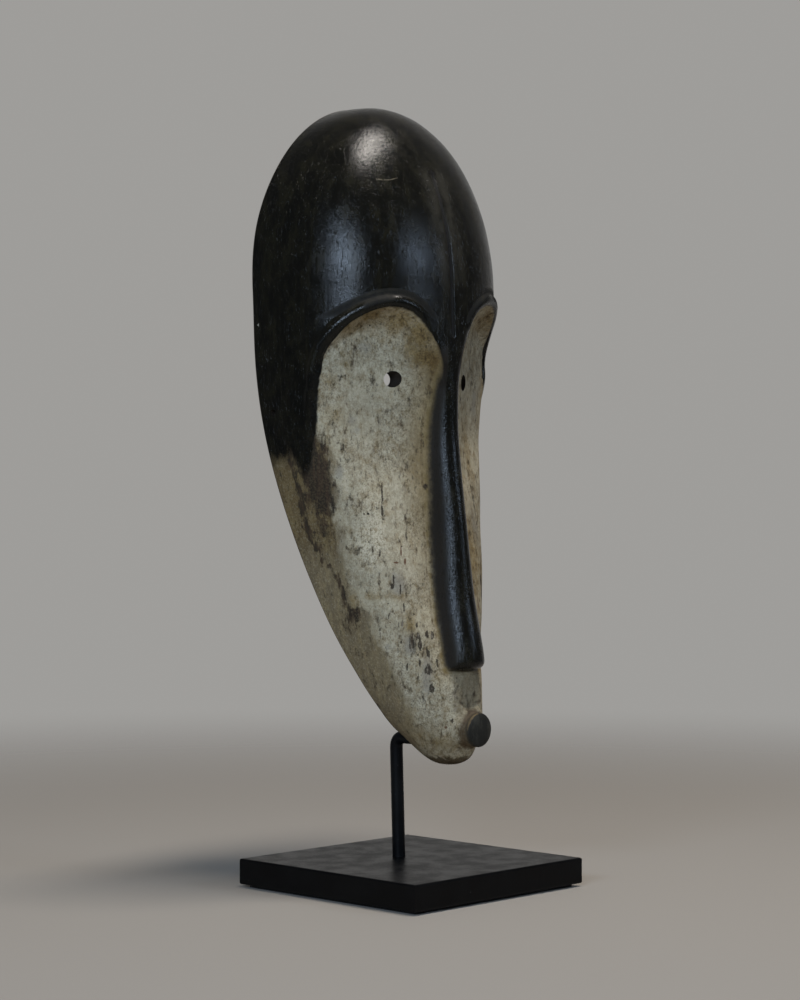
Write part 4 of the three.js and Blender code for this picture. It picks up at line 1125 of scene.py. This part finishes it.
def maskFinish():
    made, shader, at = newMaterial("mask_paint")
    n = {name: waved(at, name) for name in ("blotch", "streak", "crumbs", "mottle")}
    n["fibre"], pores = placed(grain, Vector=at, Fineness=1.0)
    crumbs, blotch = n["crumbs"], n["blotch"]
    toSide = edged(stretched(at, 0.4), shifted(layer("side"), crumbs, 9.0), 17.0, 110.0, 3.4)
    color = tint(times(toSide, 0.94), kaolinColor(at, n), bareSideColor(at, n))
    # The flat under the nose is painted darker: partly its own browner tone, partly painted shade
    color = tint(times(edged(at, layer("lip"), 3.0, 200.0, 1.2), 0.68), color, kaolin["lip"])
    color, peeled, pit = damagedAndShaded(color, at, n)
    # Near-black patina on forehead, bead, nose and mouth
    archAt = edged(at, layer("arch"), 1.1, 330.0, 0.45)
    endAt = edged(stretched(at, 0.35), layer("sideEnd"), 20.0, 150.0, 6.5)
    blackAt = largest(edged(at, layer("ridge"), 1.3, 330.0, 1.5), calc("MINIMUM", archAt, endAt))
    arch = layer("arch")
    halo = times(ramp(arch, 7.6, 8.3), ramp(arch, 9.8, 8.8))
    halo = times(times(halo, layer("upper")), ramp(blotch, 0.4, 0.6, 0.1, 0.5))
    halo = times(halo, scaledSum(layer("between"), 0.7, 0.3))
    color = tint(blackAt, color, blackColor(n, halo))
    rough = mixed(blackAt, kaolin["rough"], patinaGloss(n, halo))
    chalk = scaledSum(crumbs, 0.45, times(blotch, 0.34))
    chalk = scaledSum(pit, -0.9, scaledSum(peeled, -0.22, chalk))
    polished = scaledSum(n["fibre"], 0.38, times(crumbs, 0.28))
    polished = scaledSum(pores, -0.34, polished)
    height = mixed(blackAt, chalk, polished)
    finishShader(shader, color, rough, height, kaolin["depth"], kaolin["specular"])
    return made


rawWood = {
    "pale": (0.15, 0.088, 0.045), "dark": (0.075, 0.042, 0.022), "aged": (0.045, 0.028, 0.016),
    "pore": (0.02, 0.012, 0.008), "rim": (0.02, 0.016, 0.011), "bore": (0.012, 0.009, 0.006),
    "cutSize": 95.0, "depth": 0.0016, "specular": 0.35,
}


def rawWoodFinish():
    made, shader, at = newMaterial("mask_raw_wood")
    fibre, pores = placed(grain, Vector=at, Fineness=0.8)
    cuts = addNode("ShaderNodeTexVoronoi", {"Vector": stretched(at, 0.55), "Scale": rawWood["cutSize"]},
                   feature="SMOOTH_F1").outputs["Distance"]
    age = noise(at, 30.0, 4.0, 0.6)
    color = coated(rawWood["pale"], rawWood, ("dark", fibre, 0.36, 0.64, 1.0), ("aged", age, 0.4, 0.7, 0.7))
    toRim = ramp(scaledSum(age, 6.0, layer("rimGap")), 9.0, 3.0)
    for value, share, tone in ((pores, 0.6, "pore"), (toRim, 0.75, "rim"), (layer("bore"), 0.9, "bore")):
        color = tint(times(value, share), color, rawWood[tone])
    rough = ramp(fibre, 0.3, 0.7, 0.85, 0.68)
    height = scaledSum(cuts, 0.8, times(fibre, 0.22))
    finishShader(shader, color, rough, height, rawWood["depth"], rawWood["specular"])
    return made


satinPaints = {
    "rod_paint": {"color": (0.004, 0.0042, 0.0046), "worn": (0.008, 0.008, 0.008), "rough": (0.34, 0.46),
                  "depth": 0.00004, "specular": 0.12},
    "base_paint": {"color": (0.0028, 0.0028, 0.003), "worn": (0.0055, 0.0055, 0.0055), "rough": (0.28, 0.4),
                   "depth": 0.00006, "specular": 0.09},
}
dust = (0.12, 0.115, 0.11)
feltCloth = {
    "dark": (0.009, 0.008, 0.008), "pale": (0.03, 0.028, 0.026), "rough": (0.98, 0.88),
    "hairSize": 1800.0, "depth": 0.0005, "specular": 0.2, "sheen": 0.25,
}


def satinFinish(name):
    paint = satinPaints[name]
    made, shader, at = newMaterial(name)
    clouds, fine, sheen, dusty = placed(satin, Vector=at)
    tone = tint(dusty, tint(clouds, paint["color"], paint["worn"]), dust)
    rough = ramp(sheen, 0.0, 1.0, *paint["rough"])
    finishShader(shader, tone, rough, fine, paint["depth"], paint["specular"])
    return made


def feltFinish():
    made, shader, at = newMaterial("felt")
    hairs = noise(at, feltCloth["hairSize"], 4.0, 0.75, 0.8)
    tone = coated(feltCloth["dark"], feltCloth, ("pale", hairs, 0.35, 0.7, 1.0))
    rough = ramp(hairs, 0.3, 0.7, *feltCloth["rough"])
    finishShader(shader, tone, rough, hairs, feltCloth["depth"], feltCloth["specular"])
    plug(shader, "Sheen Weight", feltCloth["sheen"])
    return made


def place(body, replaced, slotName):
    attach(body, "root")
    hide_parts(replaced)


grid, frontColumns = maskGrid()
maskMesh = meshFromGrid("mask_wood", grid, frontColumns)
maskMesh.materials.append(maskFinish())
maskMesh.materials.append(rawWoodFinish())
maskObject = bpy.data.objects.new("mask_wood", maskMesh)
scene.collection.objects.link(maskObject)
cutAndJoin(maskObject)
paintMask(maskObject.data)
maskObject.data.shade_smooth()
maskObject.data.set_sharp_from_angle(angle=math.radians(mask["sharpAngle"]))
place(maskObject, "mask", "carved_wood")
print("mask carved and painted, faces", len(maskObject.data.polygons))

rodObject = makeRod(satinFinish("rod_paint"))
rodObject.data.shade_smooth()
rodObject.data.set_sharp_from_angle(angle=math.radians(rod["sharpAngle"]))
place(rodObject, "stand_rod", "rod_steel")
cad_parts["stand_base"].material_slots[0].material = satinFinish("base_paint")
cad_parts["stand_felt"].material_slots[0].material = feltFinish()
print("stand painted")


# Floor and light: dark room before the mask, pale behind it, two windows and a warm lamp
room = {
    "floor": (0.37, 0.34, 0.3), "floorReach": 1.35, "floorFadeFrom": 0.4,
    "floorSides": 96, "floorRough": 0.95, "floorSpecular": 0.1,
    "seen": (0.345, 0.338, 0.325), "behind": (0.36, 0.355, 0.345), "before": (0.06, 0.062, 0.068),
}
floorMesh = bpy.data.meshes.new("floor")
corners = []
for i in range(room["floorSides"]):
    angle = 2 * math.pi * i / room["floorSides"]
    corners.append((room["floorReach"] * math.cos(angle), room["floorReach"] * math.sin(angle), 0))
floorMesh.from_pydata(corners, [], [list(range(room["floorSides"]))])
floorPaint, shader, at = newMaterial("floor")
reach = addNode("ShaderNodeVectorMath", {0: at}, operation="LENGTH").outputs["Value"]
plug(shader, "Alpha", ramp(reach, room["floorFadeFrom"], room["floorReach"] * 0.98, 1.0, 0.0))
plug(shader, "Base Color", (*room["floor"], 1))
plug(shader, "Roughness", room["floorRough"])
plug(shader, "Specular IOR Level", room["floorSpecular"])
floorMesh.materials.append(floorPaint)
floorObject = bpy.data.objects.new("floor", floorMesh)
scene.collection.objects.link(floorObject)

world = bpy.data.worlds.new("room")
world.use_nodes = True
building["tree"] = world.node_tree
way = addNode("ShaderNodeTexCoord").outputs["Generated"]
facing = addNode("ShaderNodeVectorMath", {0: way, 1: camera["looksAlong"]}, operation="DOT_PRODUCT")
around = tint(ramp(facing.outputs["Value"], 0.4, 0.98), room["before"], room["behind"])
seen = addNode("ShaderNodeLightPath").outputs["Is Camera Ray"]
plug(world.node_tree.nodes["Background"], "Color", tint(seen, around, room["seen"]))
scene.world = world


# Each light: azimuth and elevation in degrees, distance, size, watts, colour
lights = {
    "window_side": (-65, 17, 2.6, (1.45, 0.3), 38, (0.62, 0.78, 1.0)),
    "window_front_a": (18.5, 18.5, 2.6, (0.2, 0.38), 4.6, (0.58, 0.75, 1.0)),
    "window_front_b": (26, 18.5, 2.6, (0.2, 0.38), 4.6, (0.58, 0.75, 1.0)),
    "lamp_above": (11, 75, 1.6, (0.8, 0.22), 22, (1.0, 0.94, 0.88)),
}
for name, (azimuth, elevation, distance, size, watts, color) in lights.items():
    data = bpy.data.lights.new(name, "AREA")
    data.shape = "RECTANGLE"
    data.size, data.size_y = size
    data.energy = watts
    data.color = color
    a, e = math.radians(azimuth), math.radians(elevation)
    way = Vector((math.sin(a) * math.cos(e), -math.cos(a) * math.cos(e), math.sin(e)))
    light = bpy.data.objects.new(name, data)
    light.location = Vector((0, 0, 0.3)) + way * distance
    light.rotation_euler = way.to_track_quat("Z", "Y").to_euler()
    scene.collection.objects.link(light)
print("room and lights set")

print("done")
